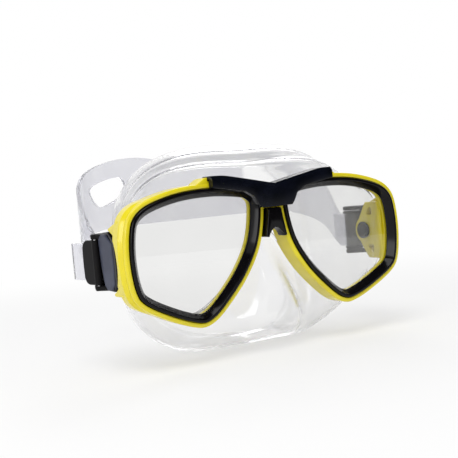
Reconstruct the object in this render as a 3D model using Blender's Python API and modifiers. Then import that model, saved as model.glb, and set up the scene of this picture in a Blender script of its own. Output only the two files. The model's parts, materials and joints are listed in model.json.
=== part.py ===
# Twin-lens snorkel mask as it is worn: +Z up, the lenses face -Y, the wearer's head is at +Y.
# Lengths are in metres. Depths are measured backwards from the front of the lens rims.
import math

import bmesh
import bpy
from mathutils import Matrix, Vector

# Fits
SEAT_GAP = 0.0003            # between pieces that rest on each other
RUN_GAP = 0.0003             # round pins and studs that turn

# Face
FACE_DEPTH = 0.060           # from the rims' front to the plane of the face seal, the origin

# Right lens: visible edge, x and z, clockwise as seen from the front
LENS_OUTLINE = [
    (0.0108, 0.0195), (0.0129, 0.0240), (0.0185, 0.0256), (0.0320, 0.0268), (0.0480, 0.0260),
    (0.0620, 0.0228), (0.0693, 0.0189), (0.0718, 0.0130), (0.0727, 0.0010), (0.0712, -0.0115),
    (0.0676, -0.0165), (0.0560, -0.0228), (0.0455, -0.0269), (0.0403, -0.0269), (0.0330, -0.0214),
    (0.0220, -0.0096), (0.0140, 0.0040),
]
OUTLINE_POINTS = 56
LENS_THICKNESS = 0.0028
LENS_BEVEL = 0.0003

# Lens rim
RIM_WIDTH = 0.0039           # from the lens's visible edge to the rim's outer edge
RIM_LIP = 0.0022             # how far the rim laps over the glass
RIM_LIP_DEPTH = 0.0042       # back of the lip
RIM_LIP_EDGE = 0.0005        # thickness of the lip at the lens
RIM_DEPTH = 0.0068
RIM_LAND = 0.0009            # flat front of the rim
RIM_ROUND = 0.0006

# Main frame
FRAME_FRONT = 0.0012         # set back from the rims' front
FRAME_DEPTH = 0.0130
FRAME_WALL = 0.0022          # yellow edge round each rim
FRAME_LEDGE = 0.0011         # how far the ledge reaches behind the glass
CHEEK_ROOT = 0.0700          # where the frame starts to stand out in front of the buckle
CHEEK_STANDOUT = 0.0047      # how far it then stands out past the lug
CHEEK_FRONT = 0.0022
WEB_HALF_WIDTH = 0.0090
WEB_BOTTOM = 0.0095
WEB_TOP = 0.0270
WEB_FRONT = 0.0050
SHOULDER = [(0.0383, 0.0340), (0.0415, 0.0312), (0.0415, 0.0285)]
SHOULDER_BACK = 0.0115
SHOULDER_FOOT = 0.0200

# Bridge cover, right half
COVER_TOP = [(0.0000, 0.0307), (0.0160, 0.0344), (0.0270, 0.0366), (0.0338, 0.0360)]
COVER_BOTTOM = [
    (0.0345, 0.0308), (0.0240, 0.0292), (0.0165, 0.0277), (0.0122, 0.0250), (0.0104, 0.0215),
    (0.0088, 0.0195),
]
COVER_FOOT = 0.0193
COVER_THICKNESS = 0.0035
COVER_LIP = 0.0016           # thickness of the lip over the frame's top
COVER_LIP_BACK = 0.0060
COVER_BEVEL = 0.0007

# Nose yoke, right half, from the top round to the middle of the arch
YOKE_OUTLINE = [
    (0.0037, 0.0189), (0.0042, 0.0140), (0.0062, 0.0052), (0.0055, 0.0042), (0.0042, 0.0046),
    (0.0028, 0.0074), (0.0000, 0.0092),
]
YOKE_FRONT = -0.0016

# Face skirt: a coarse cage of rings from the frame to the seal lip, right half.
# Each ring goes from the middle of the forehead round the temple and cheek to the nose.
SKIRT_WALL = 0.0018
SKIRT_ROOT = [
    (0.0000, 0.0270), (0.0175, 0.0292), (0.0360, 0.0305), (0.0530, 0.0290), (0.0670, 0.0240),
    (0.0694, 0.0100), (0.0690, -0.0080), (0.0665, -0.0212), (0.0535, -0.0280), (0.0428, -0.0306),
    (0.0212, -0.0205), (0.0024, 0.0090), (0.0000, 0.0110),
]
SKIRT_FLARE = [
    (0.0000, 0.0210, 0.0370), (0.0180, 0.0210, 0.0385), (0.0370, 0.0210, 0.0390), (0.0530, 0.0210, 0.0360),
    (0.0655, 0.0200, 0.0280), (0.0688, 0.0210, 0.0100), (0.0684, 0.0210, -0.0090), (0.0665, 0.0200, -0.0250),
    (0.0555, 0.0200, -0.0350), (0.0425, 0.0190, -0.0400), (0.0240, 0.0160, -0.0320), (0.0080, 0.0095, -0.0130),
    (0.0000, 0.0138, 0.0010),
]
SKIRT_MIDDLE = [
    (0.0000, 0.0300, 0.0470), (0.0190, 0.0300, 0.0485), (0.0380, 0.0310, 0.0465), (0.0530, 0.0320, 0.0405),
    (0.0640, 0.0330, 0.0290), (0.0672, 0.0340, 0.0100), (0.0668, 0.0340, -0.0100), (0.0645, 0.0320, -0.0290),
    (0.0550, 0.0310, -0.0400), (0.0405, 0.0280, -0.0475), (0.0220, 0.0120, -0.0430), (0.0125, 0.0000, -0.0310),
    (0.0000, -0.0030, -0.0240),
]
SKIRT_FULL = [
    (0.0000, 0.0410, 0.0530), (0.0210, 0.0420, 0.0535), (0.0400, 0.0440, 0.0500), (0.0520, 0.0470, 0.0425),
    (0.0615, 0.0500, 0.0290), (0.0645, 0.0530, 0.0090), (0.0638, 0.0520, -0.0120), (0.0605, 0.0480, -0.0320),
    (0.0505, 0.0430, -0.0440), (0.0360, 0.0380, -0.0525), (0.0200, 0.0220, -0.0495), (0.0120, 0.0025, -0.0430),
    (0.0000, -0.0010, -0.0415),
]
SKIRT_EDGE = [
    (0.0000, 0.0500, 0.0510), (0.0200, 0.0510, 0.0510), (0.0385, 0.0540, 0.0470), (0.0505, 0.0580, 0.0390),
    (0.0585, 0.0610, 0.0270), (0.0610, 0.0640, 0.0080), (0.0602, 0.0630, -0.0120), (0.0560, 0.0580, -0.0305),
    (0.0460, 0.0520, -0.0445), (0.0330, 0.0470, -0.0510), (0.0180, 0.0340, -0.0505), (0.0112, 0.0120, -0.0475),
    (0.0000, 0.0090, -0.0468),
]
SKIRT_LIP = [
    (0.0000, 0.0530, 0.0430), (0.0170, 0.0540, 0.0430), (0.0330, 0.0570, 0.0395), (0.0440, 0.0610, 0.0320),
    (0.0500, 0.0640, 0.0220), (0.0520, 0.0665, 0.0060), (0.0515, 0.0650, -0.0120), (0.0475, 0.0600, -0.0270),
    (0.0390, 0.0540, -0.0390), (0.0280, 0.0490, -0.0450), (0.0160, 0.0400, -0.0465), (0.0100, 0.0300, -0.0460),
    (0.0000, 0.0280, -0.0455),
]

# Swivel on the lug
PIVOT_DEPTH = 0.0235
PIVOT_HEIGHT = 0.0005
LUG_INNER = 0.0724
LUG_THICKNESS = 0.0035
LUG_RADIUS = 0.0072          # round end of the lug behind the stud
LUG_HALF_HEIGHT = 0.0155
LUG_FRONT = 0.0090
LUG_SHOULDER = 0.0215
GUARD_STANDOUT = 0.0027      # guards above and below the buckle, outside the lug
GUARD_OUTLINE = [
    (LUG_FRONT, -0.0153), (0.0192, -0.0154), (0.0209, 0.0163),
    (0.0103, 0.0194), (LUG_FRONT, 0.0198),
]
LUG_WINDOW = 0.0022          # half height of the lug's two round triangular windows
LUG_WINDOW_POINT = 0.0033    # reach of their long corners
LUG_WINDOW_ROUND = 0.0009
LUG_WINDOW_DEPTH = 0.0192
LUG_WINDOW_RISE = 0.0105
STUD_RADIUS = 0.0030
STUD_SEAT = 0.0018           # how deep the stud goes into the buckle plate
WASHER_RADIUS = 0.0046
WASHER_THICKNESS = 0.0008
STUD_END = 0.0003            # stud standing proud of the washer

# Buckle, right side: plate outline is y and z from the pivot
PLATE_THICKNESS = 0.0030
PLATE_TOP = 0.0012           # plate above the upper ear
PLATE_BOTTOM = 0.0004        # plate below the lower ear
PLATE_CORNER = 0.0016
ROLLER_REACH = 0.0140        # from the pivot back to the roller's axle
ROLLER_STANDOUT = 0.0001     # roller's axle outside the lug's outer face
ROLLER_RADIUS = 0.0030
ROLLER_FLANGE = 0.0049
FLANGE_THICKNESS = 0.0014
AXLE_RADIUS = 0.0010
EAR_THICKNESS = 0.0022
EAR_GAP = 0.0004             # between roller or tab and the ears
EAR_ROUND = 0.0048           # round end of the ears about the axle
EAR_PIN_ROUND = 0.0019

# Strap
STRAP_WIDTH = 0.0180         # at the roller
STRAP_THICKNESS = 0.0020
STRAP_INNER_SLOPE = 13.0     # degrees outwards of the flat run behind the roller
STRAP_FLAT = 0.0140          # length of that flat run
TAIL_SLOPE = 9.0             # degrees outwards of the free tail
TAIL_LENGTH = 0.0200
STRAP_BACK = [               # plan of the right half, from the back's middle to the flat run
    (0.0000, 0.0960), (0.0300, 0.0940), (0.0500, 0.0890), (0.0640, 0.0810), (0.0720, 0.0720), (0.0756, 0.0620),
]
STRAP_TOP = [                # distance from the back's middle, height
    (0.000, 0.0475), (0.012, 0.0490), (0.026, 0.0515), (0.040, 0.0515), (0.054, 0.0490), (0.067, 0.0450),
    (0.079, 0.0385), (0.088, 0.0305), (0.095, 0.0215), (0.1005, 0.0145),
]
STRAP_BOTTOM = [
    (0.000, 0.0140), (0.040, 0.0140), (0.060, 0.0130), (0.075, 0.0100), (0.088, 0.0040), (0.098, -0.0040),
]
STRAP_NECK = 0.0075          # flat run before the band starts to widen
STRAP_WINDOW = [
    (0.0663, 0.0350), (0.0555, 0.0396), (0.0430, 0.0414), (0.0388, 0.0385), (0.0392, 0.0340), (0.0435, 0.0298),
    (0.0583, 0.0260),
]
STRAP_STEP = 0.0060          # spacing of bend lines
WRAP_STEPS = 8

# Release tab, hinged in front of the strap's tail
TAB_THICKNESS = 0.0016
TAB_CLEARANCE = 0.0005       # between tab and tail
TAB_FORWARD = 0.0063         # from where the tail leaves the roller forward to the tab's pin
TAB_LENGTH = 0.0112
TAB_KNUCKLE = 0.0019
TAB_PIN_RADIUS = 0.0008
TAB_CORNER = 0.0035

ROUND_STEPS = 16
RECESS_STEPS = 48
CURVE_STEPS = 24
WELD_DISTANCE = 0.000005
MIRROR_MERGE = 0.0001

# Derived places
LENS_FRONT = RIM_LIP_DEPTH + SEAT_GAP
LENS_BACK = LENS_FRONT + LENS_THICKNESS
LEDGE_FRONT = LENS_BACK + SEAT_GAP
LENS_EDGE = RIM_LIP - SEAT_GAP
POCKET_EDGE = RIM_WIDTH + SEAT_GAP
FRAME_EDGE = POCKET_EDGE + FRAME_WALL
LUG_OUTER = LUG_INNER + LUG_THICKNESS
CHEEK_EDGE = LUG_OUTER + CHEEK_STANDOUT
CHEEK_OUTLINE = [
    (CHEEK_ROOT, 0.0250), (CHEEK_EDGE - 0.0034, 0.0218), (CHEEK_EDGE - 0.0006, 0.0130), (CHEEK_EDGE, 0.0010),
    (CHEEK_EDGE - 0.0006, -0.0100), (CHEEK_EDGE - 0.0024, -0.0160), (CHEEK_ROOT, -0.0230),
]
ROLLER_X = LUG_OUTER + ROLLER_STANDOUT
PLATE_INNER = LUG_OUTER + SEAT_GAP
PLATE_OUTER = PLATE_INNER + PLATE_THICKNESS
ROLLER_DEPTH = PIVOT_DEPTH + ROLLER_REACH
ROLLER_HALF = STRAP_WIDTH / 2 + SEAT_GAP + FLANGE_THICKNESS
EAR_INNER = ROLLER_HALF + EAR_GAP
EAR_OUTER = EAR_INNER + EAR_THICKNESS
WRAP_RADIUS = ROLLER_RADIUS + SEAT_GAP + STRAP_THICKNESS / 2
PLATE_OUTLINE = [
    (-0.0106, 0.0100), (-0.0036, EAR_OUTER + PLATE_TOP), (0.0045, EAR_OUTER + PLATE_TOP - 0.0005),
    (0.0088, 0.0096), (0.0080, -0.0010), (0.0062, -0.0098), (0.0020, -EAR_OUTER - PLATE_BOTTOM + 0.0003),
    (-0.0058, -EAR_OUTER - PLATE_BOTTOM), (-0.0108, -0.0098), (-0.0112, 0.0000),
]
BUCKLE_REACH = max(math.hypot(y, z) for y, z in PLATE_OUTLINE)

SIDES = (("left", -1), ("right", 1))


def clear_scene():
    for item in list(bpy.data.objects):
        bpy.data.objects.remove(item, do_unlink=True)


def new_collection(name):
    group = bpy.data.collections.new(name)
    bpy.context.scene.collection.children.link(group)
    return group


def finish(name, colour, roughness, metallic=0.0, alpha=1.0):
    material = bpy.data.materials.new(name)
    material.use_nodes = True
    shader = material.node_tree.nodes["Principled BSDF"]
    shader.inputs["Base Color"].default_value = (*colour, 1.0)
    shader.inputs["Roughness"].default_value = roughness
    shader.inputs["Metallic"].default_value = metallic
    shader.inputs["Alpha"].default_value = alpha
    return material


# Outlines

def curve_point(before, start, end, after, t):
    """A point on the Catmull-Rom curve between start and end."""
    a = 2 * start
    b = end - before
    c = 2 * before - 5 * start + 4 * end - after
    d = 3 * start - before - 3 * end + after
    return 0.5 * (a + b * t + c * t * t + d * t ** 3)


def smooth_run(points, steps, closed=False):
    """A smooth curve through points, with steps pieces between each two."""
    knots = [Vector(p) for p in points]
    count = len(knots)
    if closed:
        padded = [knots[-1], *knots, knots[0], knots[1]]
        spans = count
    else:
        padded = [2 * knots[0] - knots[1], *knots, 2 * knots[-1] - knots[-2]]
        spans = count - 1
    run = []
    for span in range(spans):
        for step in range(steps):
            run.append(curve_point(*padded[span:span + 4], step / steps))
    if not closed:
        run.append(knots[-1])
    return run


def even_loop(points, count):
    """A closed smooth curve cut into pieces of equal length."""
    fine = smooth_run(points, CURVE_STEPS, closed=True)
    fine.append(fine[0])
    lengths = [0.0]
    for a, b in zip(fine, fine[1:]):
        lengths.append(lengths[-1] + (b - a).length)
    loop = []
    index = 0
    for k in range(count):
        target = lengths[-1] * k / count
        while lengths[index + 1] < target:
            index += 1
        share = (target - lengths[index]) / (lengths[index + 1] - lengths[index])
        loop.append(fine[index].lerp(fine[index + 1], share))
    return loop


def offset(loop, distance):
    """A clockwise loop moved outwards along its own normals."""
    moved = []
    for k, point in enumerate(loop):
        along = loop[(k + 1) % len(loop)] - loop[k - 1]
        moved.append(point + Vector((-along.y, along.x)).normalized() * distance)
    return moved


def mirrored(half):
    """A right half from top to bottom, closed with its mirror image."""
    left = [(-x, z) for x, z in reversed(half) if x > 0]
    return list(half) + left


def arc(centre, radius, start, end, steps):
    points = []
    for k in range(steps + 1):
        turn = math.radians(start + (end - start) * k / steps)
        points.append((centre[0] + radius * math.cos(turn), centre[1] + radius * math.sin(turn)))
    return points


def circle(centre, radius, steps):
    return arc(centre, radius, 0, 360 - 360 / steps, steps - 1)


def rounded(corners, radius, steps=3):
    """A polygon whose corners are rounded with one radius."""
    points = []
    for k, corner in enumerate(corners):
        here = Vector(corner)
        back = (Vector(corners[k - 1]) - here).normalized()
        ahead = (Vector(corners[(k + 1) % len(corners)]) - here).normalized()
        half = back.angle(ahead) / 2
        reach = radius / math.tan(half)
        centre = here + (back + ahead).normalized() * radius / math.sin(half)
        first = here + back * reach - centre
        last = here + ahead * reach - centre
        for step in range(steps + 1):
            spoke = first.lerp(last, step / steps).normalized() * radius
            points.append(centre + spoke)
    return points


# Solids

def add_object(name, mesh, group, parent=None):
    item = bpy.data.objects.new(name, mesh)
    group.objects.link(item)
    item.parent = parent
    return item


def flat_mesh(name, outlines, thickness):
    """A flat outline, with further outlines as holes, given a thickness about z = 0."""
    curve = bpy.data.curves.new(name, "CURVE")
    curve.dimensions = "2D"
    curve.fill_mode = "BOTH"
    curve.extrude = thickness / 2
    for outline in outlines:
        spline = curve.splines.new("POLY")
        spline.points.add(len(outline) - 1)
        for point, place in zip(spline.points, outline):
            point.co = (place[0], place[1], 0.0, 1.0)
        spline.use_cyclic_u = True
    shape = bpy.data.objects.new(name, curve)
    bpy.context.scene.collection.objects.link(shape)
    evaluated = shape.evaluated_get(bpy.context.evaluated_depsgraph_get())
    mesh = bpy.data.meshes.new_from_object(evaluated)
    bpy.data.objects.remove(shape, do_unlink=True)
    weld(mesh)
    return mesh


def weld(mesh):
    cage = bmesh.new()
    cage.from_mesh(mesh)
    bmesh.ops.remove_doubles(cage, verts=cage.verts, dist=WELD_DISTANCE)
    bmesh.ops.recalc_face_normals(cage, faces=cage.faces)
    cage.to_mesh(mesh)
    cage.free()


def front_plate(name, outline, front, back):
    """An outline in x and z, between two depths."""
    mesh = flat_mesh(name, [outline], back - front)
    turn = Matrix(((1, 0, 0, 0), (0, 0, -1, (front + back) / 2), (0, 1, 0, 0), (0, 0, 0, 1)))
    mesh.transform(turn)
    return mesh


def side_plate(name, outlines, inner, outer, side):
    """Outlines in depth and height, between two distances from the middle on one side."""
    mesh = flat_mesh(name, outlines, outer - inner)
    turn = Matrix(((0, 0, 1, side * (inner + outer) / 2), (1, 0, 0, 0), (0, 1, 0, 0), (0, 0, 0, 1)))
    mesh.transform(turn)
    return mesh


def plan_plate(name, outlines, low, high):
    """Outlines in x and y, between two heights."""
    mesh = flat_mesh(name, outlines, high - low)
    mesh.transform(Matrix.Translation((0, 0, (low + high) / 2)))
    return mesh


def lofted(name, loops, ring=False):
    """Faces between loops of equal count. A ring joins last to first, otherwise both ends are capped."""
    cage = bmesh.new()
    rows = [[cage.verts.new(p) for p in loop] for loop in loops]
    pairs = list(zip(rows, rows[1:]))
    if ring:
        pairs.append((rows[-1], rows[0]))
    else:
        cage.faces.new(rows[0])
        cage.faces.new(rows[-1])
    for a, b in pairs:
        for k in range(len(a)):
            cage.faces.new((a[k - 1], a[k], b[k], b[k - 1]))
    bmesh.ops.recalc_face_normals(cage, faces=cage.faces)
    mesh = bpy.data.meshes.new(name)
    cage.to_mesh(mesh)
    cage.free()
    return mesh


def turned(name, profile, closed=False):
    """A mesh that holds a profile of radius and height, for a Screw modifier."""
    mesh = bpy.data.meshes.new(name)
    edges = [(k, k + 1) for k in range(len(profile) - 1)]
    if closed:
        edges.append((len(profile) - 1, 0))
    mesh.from_pydata([(r, 0.0, z) for r, z in profile], edges, [])
    return mesh


def spin(item):
    screw = item.modifiers.new("turn", "SCREW")
    screw.steps = ROUND_STEPS
    screw.render_steps = ROUND_STEPS
    screw.use_merge_vertices = True
    screw.merge_threshold = WELD_DISTANCE
    screw.use_smooth_shade = True


def boolean(target, operation, operand):
    operand.hide_render = True
    operand.display_type = "WIRE"
    step = target.modifiers.new(operand.name, "BOOLEAN")
    step.operation = operation
    step.solver = "EXACT"
    step.object = operand


def bevel(item, width, segments=2):
    edge = item.modifiers.new("edges", "BEVEL")
    edge.width = width
    edge.segments = segments
    edge.limit_method = "ANGLE"
    edge.angle_limit = math.radians(50)


def smooth(item, angle=40):
    item.data.shade_smooth()
    item.data.set_sharp_from_angle(angle=math.radians(angle))


def side_points(points, side):
    return [(side * x, y) for x, y in points]


# Pieces

class Build:
    """The collections, parents and lens outlines that the pieces share."""

    def __init__(self):
        self.parts = new_collection("snorkel_mask")
        self.cutters = new_collection("snorkel_mask_cutters")
        self.mask = self.empty("mask_front", (0, -FACE_DEPTH, 0), None)
        self.swing = self.empty("strap_pivot", (0, PIVOT_DEPTH, PIVOT_HEIGHT), self.mask)
        right = even_loop(LENS_OUTLINE, OUTLINE_POINTS)
        self.lens = {"right": right, "left": [Vector((-p.x, p.y)) for p in reversed(right)]}

    def empty(self, name, place, parent):
        item = bpy.data.objects.new(name, None)
        item.location = place
        item.parent = parent
        self.parts.objects.link(item)
        return item

    def part(self, name, mesh, material, parent=None, origin=(0, 0, 0)):
        """A named piece. Its mesh is moved so that the object's origin lies at the given place."""
        mesh.materials.append(material)
        mesh.transform(Matrix.Translation(-Vector(origin)))
        item = add_object(name, mesh, self.parts, parent or self.mask)
        item.location = Vector(origin)
        if parent:
            item.location -= parent.location
        return item

    def cutter(self, name, mesh):
        return add_object(name, mesh, self.cutters, self.mask)

    def loop(self, side_name, distance, depth):
        return [(p.x, depth, p.y) for p in offset(self.lens[side_name], distance)]

    def tube(self, side_name, distance, front, back):
        name = f"lens_block_{side_name}"
        return lofted(name, [self.loop(side_name, distance, front), self.loop(side_name, distance, back)])


def make_lens(build, side_name, material):
    soft = LENS_EDGE - LENS_BEVEL
    loops = [
        build.loop(side_name, soft, LENS_FRONT),
        build.loop(side_name, LENS_EDGE, LENS_FRONT + LENS_BEVEL),
        build.loop(side_name, LENS_EDGE, LENS_BACK - LENS_BEVEL),
        build.loop(side_name, soft, LENS_BACK),
    ]
    smooth(build.part(f"lens_{side_name}", lofted(f"lens_{side_name}", loops), material))


def make_rim(build, side_name, material):
    section = [
        (0.0, RIM_LIP_DEPTH - RIM_LIP_EDGE),
        (0.0, RIM_LIP_DEPTH),
        (RIM_LIP, RIM_LIP_DEPTH),
        (RIM_LIP, RIM_DEPTH),
        (RIM_WIDTH, RIM_DEPTH),
        (RIM_WIDTH, RIM_ROUND),
        (RIM_WIDTH - RIM_ROUND, 0.0),
        (RIM_WIDTH - RIM_ROUND - RIM_LAND, 0.0),
    ]
    loops = [build.loop(side_name, distance, depth) for distance, depth in section]
    smooth(build.part(f"lens_rim_{side_name}", lofted(f"lens_rim_{side_name}", loops, ring=True), material), 30)


def bridge_outline():
    """Top of the frame's bridge, under the cover's lip, with a shoulder at each end of the cover."""
    end = COVER_TOP[-1]
    drop = COVER_LIP + SEAT_GAP
    half = [(x, z - drop) for x, z in COVER_TOP[:-1]]
    half.append((end[0] + SEAT_GAP, end[1] - drop))
    half.append((end[0] + SEAT_GAP, end[1]))
    half.extend(SHOULDER)
    half.append((0.0, SHOULDER_FOOT))
    return mirrored(half)


def lug_outline():
    centre = (PIVOT_DEPTH, PIVOT_HEIGHT)
    top = PIVOT_HEIGHT + LUG_HALF_HEIGHT
    bottom = PIVOT_HEIGHT - LUG_HALF_HEIGHT
    return [(LUG_FRONT, bottom), (LUG_SHOULDER, bottom), *arc(centre, LUG_RADIUS, -60, 60, 8),
            (LUG_SHOULDER, top), (LUG_FRONT, top)]


def lug_windows():
    for way in (1, -1):
        middle = PIVOT_HEIGHT + way * LUG_WINDOW_RISE
        size = LUG_WINDOW
        corners = [
            (LUG_WINDOW_DEPTH - size, middle - way * size),
            (LUG_WINDOW_DEPTH + LUG_WINDOW_POINT, middle - way * size),
            (LUG_WINDOW_DEPTH - size, middle + way * LUG_WINDOW_POINT),
        ]
        yield rounded(corners, LUG_WINDOW_ROUND)


def make_frame(build, material):
    web = mirrored([(WEB_HALF_WIDTH, WEB_TOP), (WEB_HALF_WIDTH, WEB_BOTTOM)])
    plate = front_plate("main_frame", web, WEB_FRONT, FRAME_DEPTH - SEAT_GAP)
    frame = build.part("main_frame", plate, material)
    bridge = front_plate("bridge_block", bridge_outline(), FRAME_FRONT + SEAT_GAP, SHOULDER_BACK)
    joined = [("bridge_block", bridge)]
    removed = []
    for side_name, side in SIDES:
        cheek = [(side * x, z) for x, z in CHEEK_OUTLINE]
        joined.append((f"surround_{side_name}", build.tube(side_name, FRAME_EDGE, FRAME_FRONT, FRAME_DEPTH)))
        block = front_plate("cheek", cheek, CHEEK_FRONT, FRAME_DEPTH - 2 * SEAT_GAP)
        joined.append((f"cheek_{side_name}", block))
        joined.append((f"lug_{side_name}", side_plate("lug", [lug_outline()], LUG_INNER, LUG_OUTER, side)))
        guard = side_plate("guard", [GUARD_OUTLINE], LUG_INNER, LUG_OUTER + GUARD_STANDOUT, side)
        joined.append((f"guard_{side_name}", guard))
        pocket = build.tube(side_name, POCKET_EDGE, -FRAME_DEPTH, LEDGE_FRONT)
        window = build.tube(side_name, LENS_EDGE - FRAME_LEDGE, 0.0, 2 * FRAME_DEPTH)
        removed.append((f"rim_pocket_{side_name}", pocket))
        removed.append((f"lens_window_{side_name}", window))
        centre = (PIVOT_DEPTH, PIVOT_HEIGHT)
        recess = circle(centre, BUCKLE_REACH + SEAT_GAP, RECESS_STEPS)
        far = PLATE_OUTER + FRAME_DEPTH
        removed.append((f"swing_recess_{side_name}",
                        side_plate("recess", [recess], LUG_OUTER + SEAT_GAP / 2, far, side)))
        hole = circle(centre, STUD_RADIUS + RUN_GAP, ROUND_STEPS)
        removed.append((f"stud_hole_{side_name}",
                        side_plate("stud_hole", [hole], LUG_INNER - FRAME_WALL, far, side)))
        for number, outline in enumerate(lug_windows()):
            removed.append((f"lug_window_{side_name}_{number}",
                            side_plate("lug_window", [outline], LUG_INNER - FRAME_WALL, far, side)))
    for name, mesh in joined:
        boolean(frame, "UNION", build.cutter(name, mesh))
    for name, mesh in removed:
        boolean(frame, "DIFFERENCE", build.cutter(name, mesh))
    smooth(frame, 35)


def make_cover(build, material):
    half = COVER_TOP + COVER_BOTTOM + [(0.0, COVER_FOOT)]
    back = -SEAT_GAP
    plate = front_plate("bridge_cover", mirrored(half), back - COVER_THICKNESS, back)
    cover = build.part("bridge_cover", plate, material)
    under = [(x, z - COVER_LIP) for x, z in reversed(COVER_TOP)]
    lip = front_plate("cover_lip", mirrored(COVER_TOP + under), back - COVER_THICKNESS / 2, COVER_LIP_BACK)
    boolean(cover, "UNION", build.cutter("cover_lip", lip))
    bevel(cover, COVER_BEVEL)
    smooth(cover, 30)


def make_yoke(build, material):
    outline = mirrored([(0.0, YOKE_OUTLINE[0][1])] + YOKE_OUTLINE)
    plate = front_plate("nose_yoke", outline, YOKE_FRONT, WEB_FRONT - SEAT_GAP)
    yoke = build.part("nose_yoke", plate, material)
    for side_name, _ in SIDES:
        clearance = build.tube(side_name, FRAME_EDGE + SEAT_GAP, FRAME_FRONT - SEAT_GAP, FRAME_DEPTH)
        boolean(yoke, "DIFFERENCE", build.cutter(f"yoke_clearance_{side_name}", clearance))
    bevel(yoke, SEAT_GAP)
    smooth(yoke, 30)


def make_skirt(build, material):
    root_depth = FRAME_DEPTH + SEAT_GAP + SKIRT_WALL / 2
    root = [(x, root_depth, z) for x, z in SKIRT_ROOT]
    cage = bmesh.new()
    rings = []
    for half in (root, SKIRT_FLARE, SKIRT_MIDDLE, SKIRT_FULL, SKIRT_EDGE, SKIRT_LIP):
        rings.append([cage.verts.new(p) for p in half])
    for a, b in zip(rings, rings[1:]):
        for k in range(len(a) - 1):
            cage.faces.new((a[k], a[k + 1], b[k + 1], b[k]))
    bmesh.ops.recalc_face_normals(cage, faces=cage.faces)
    mesh = bpy.data.meshes.new("face_skirt")
    cage.to_mesh(mesh)
    cage.free()
    skirt = build.part("face_skirt", mesh, material)
    mirror = skirt.modifiers.new("mirror", "MIRROR")
    mirror.merge_threshold = MIRROR_MERGE
    soft = skirt.modifiers.new("soft", "SUBSURF")
    soft.levels = 1
    soft.render_levels = 1
    wall = skirt.modifiers.new("wall", "SOLIDIFY")
    wall.thickness = SKIRT_WALL
    wall.offset = 0.0
    skirt.data.shade_smooth()


# Strap

def strap_run():
    """Middle line of the right half in plan, from the back's middle to the tail's end, and its marks."""
    roller = Vector((ROLLER_X, ROLLER_DEPTH))
    inner = math.radians(STRAP_INNER_SLOPE)
    outer = math.radians(TAIL_SLOPE)
    leave = roller + WRAP_RADIUS * Vector((-math.cos(inner), math.sin(inner)))
    flat_end = leave + STRAP_FLAT * Vector((math.sin(inner), math.cos(inner)))
    tail_start = roller + WRAP_RADIUS * Vector((math.cos(outer), -math.sin(outer)))
    tail_end = tail_start + TAIL_LENGTH * Vector((math.sin(outer), math.cos(outer)))
    knots = [Vector(p) for p in STRAP_BACK] + [flat_end]
    ahead = [Vector((-knots[1].x, knots[1].y)), *knots, leave]
    run = []
    for k in range(len(knots) - 1):
        run.extend(curve_point(*ahead[k:k + 4], step / CURVE_STEPS) for step in range(CURVE_STEPS))
    run.append(flat_end)
    wrap = arc(roller, WRAP_RADIUS, 180 - STRAP_INNER_SLOPE, 360 - TAIL_SLOPE, WRAP_STEPS)
    run.extend(Vector(p) for p in wrap)
    run.append(tail_end)
    lengths = [0.0]
    for a, b in zip(run, run[1:]):
        lengths.append(lengths[-1] + (b - a).length)
    back_end = len(run) - len(wrap) - 2
    return run, lengths, lengths[back_end], lengths[back_end + 1:-1]


def strap_place(run, lengths, distance):
    """Plan position at a distance along the run, and the normal there, longer at a bend."""
    index = 0
    while index < len(run) - 2 and lengths[index + 1] < distance:
        index += 1
    a, b = run[index], run[index + 1]
    share = (distance - lengths[index]) / (lengths[index + 1] - lengths[index])
    along = (b - a).normalized()
    flat = Vector((-along.y, along.x))
    if index > 0 and share < 0.001:
        along = (along + (a - run[index - 1]).normalized()).normalized()
    if index < len(run) - 2 and share > 0.999:
        along = (along + (run[index + 2] - b).normalized()).normalized()
    normal = Vector((-along.y, along.x))
    return a.lerp(b, share), normal / normal.dot(flat)


def strap_pattern(total, neck):
    """Flat outline of the whole band: its length along x and height along y, with its two windows."""
    top_end = PIVOT_HEIGHT + STRAP_WIDTH / 2
    bottom_end = PIVOT_HEIGHT - STRAP_WIDTH / 2
    top = smooth_run(STRAP_TOP + [(neck, top_end)], 2) + [Vector((total, top_end))]
    bottom = smooth_run(STRAP_BOTTOM + [(neck, bottom_end)], 3) + [Vector((total, bottom_end))]
    half = top + bottom[::-1]
    outline = [(p.x, p.y) for p in half]
    outline += [(-p.x, p.y) for p in reversed(half) if p.x > 0]
    hole = [(p.x, p.y) for p in smooth_run(STRAP_WINDOW, 3, closed=True)]
    return [outline, hole, [(-x, z) for x, z in hole]]


def make_strap(build, material):
    run, lengths, flat_start, wrap_marks = strap_run()
    neck = wrap_marks[0] - STRAP_NECK
    mesh = flat_mesh("strap", strap_pattern(lengths[-1], neck), STRAP_THICKNESS)
    cuts = [k * STRAP_STEP for k in range(1, int(flat_start / STRAP_STEP))]
    cuts += [flat_start, *wrap_marks]
    band = bmesh.new()
    band.from_mesh(mesh)
    for distance in [0.0] + cuts + [-c for c in cuts]:
        everything = [*band.verts, *band.edges, *band.faces]
        bmesh.ops.bisect_plane(
            band, geom=everything, dist=WELD_DISTANCE / 5, plane_co=(distance, 0, 0), plane_no=(1, 0, 0))
    bmesh.ops.triangulate(band, faces=band.faces)
    for vert in band.verts:
        along, height, out = vert.co
        place, normal = strap_place(run, lengths, abs(along))
        spot = place + normal * out
        vert.co = (math.copysign(spot.x, along) if along else 0.0, spot.y, height)
    bmesh.ops.reverse_faces(band, faces=band.faces)  # bending turned the band inside out
    band.to_mesh(mesh)
    band.free()
    strap = build.part("strap", mesh, material, build.swing, build.swing.location)
    smooth(strap, 45)


# Buckles

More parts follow.
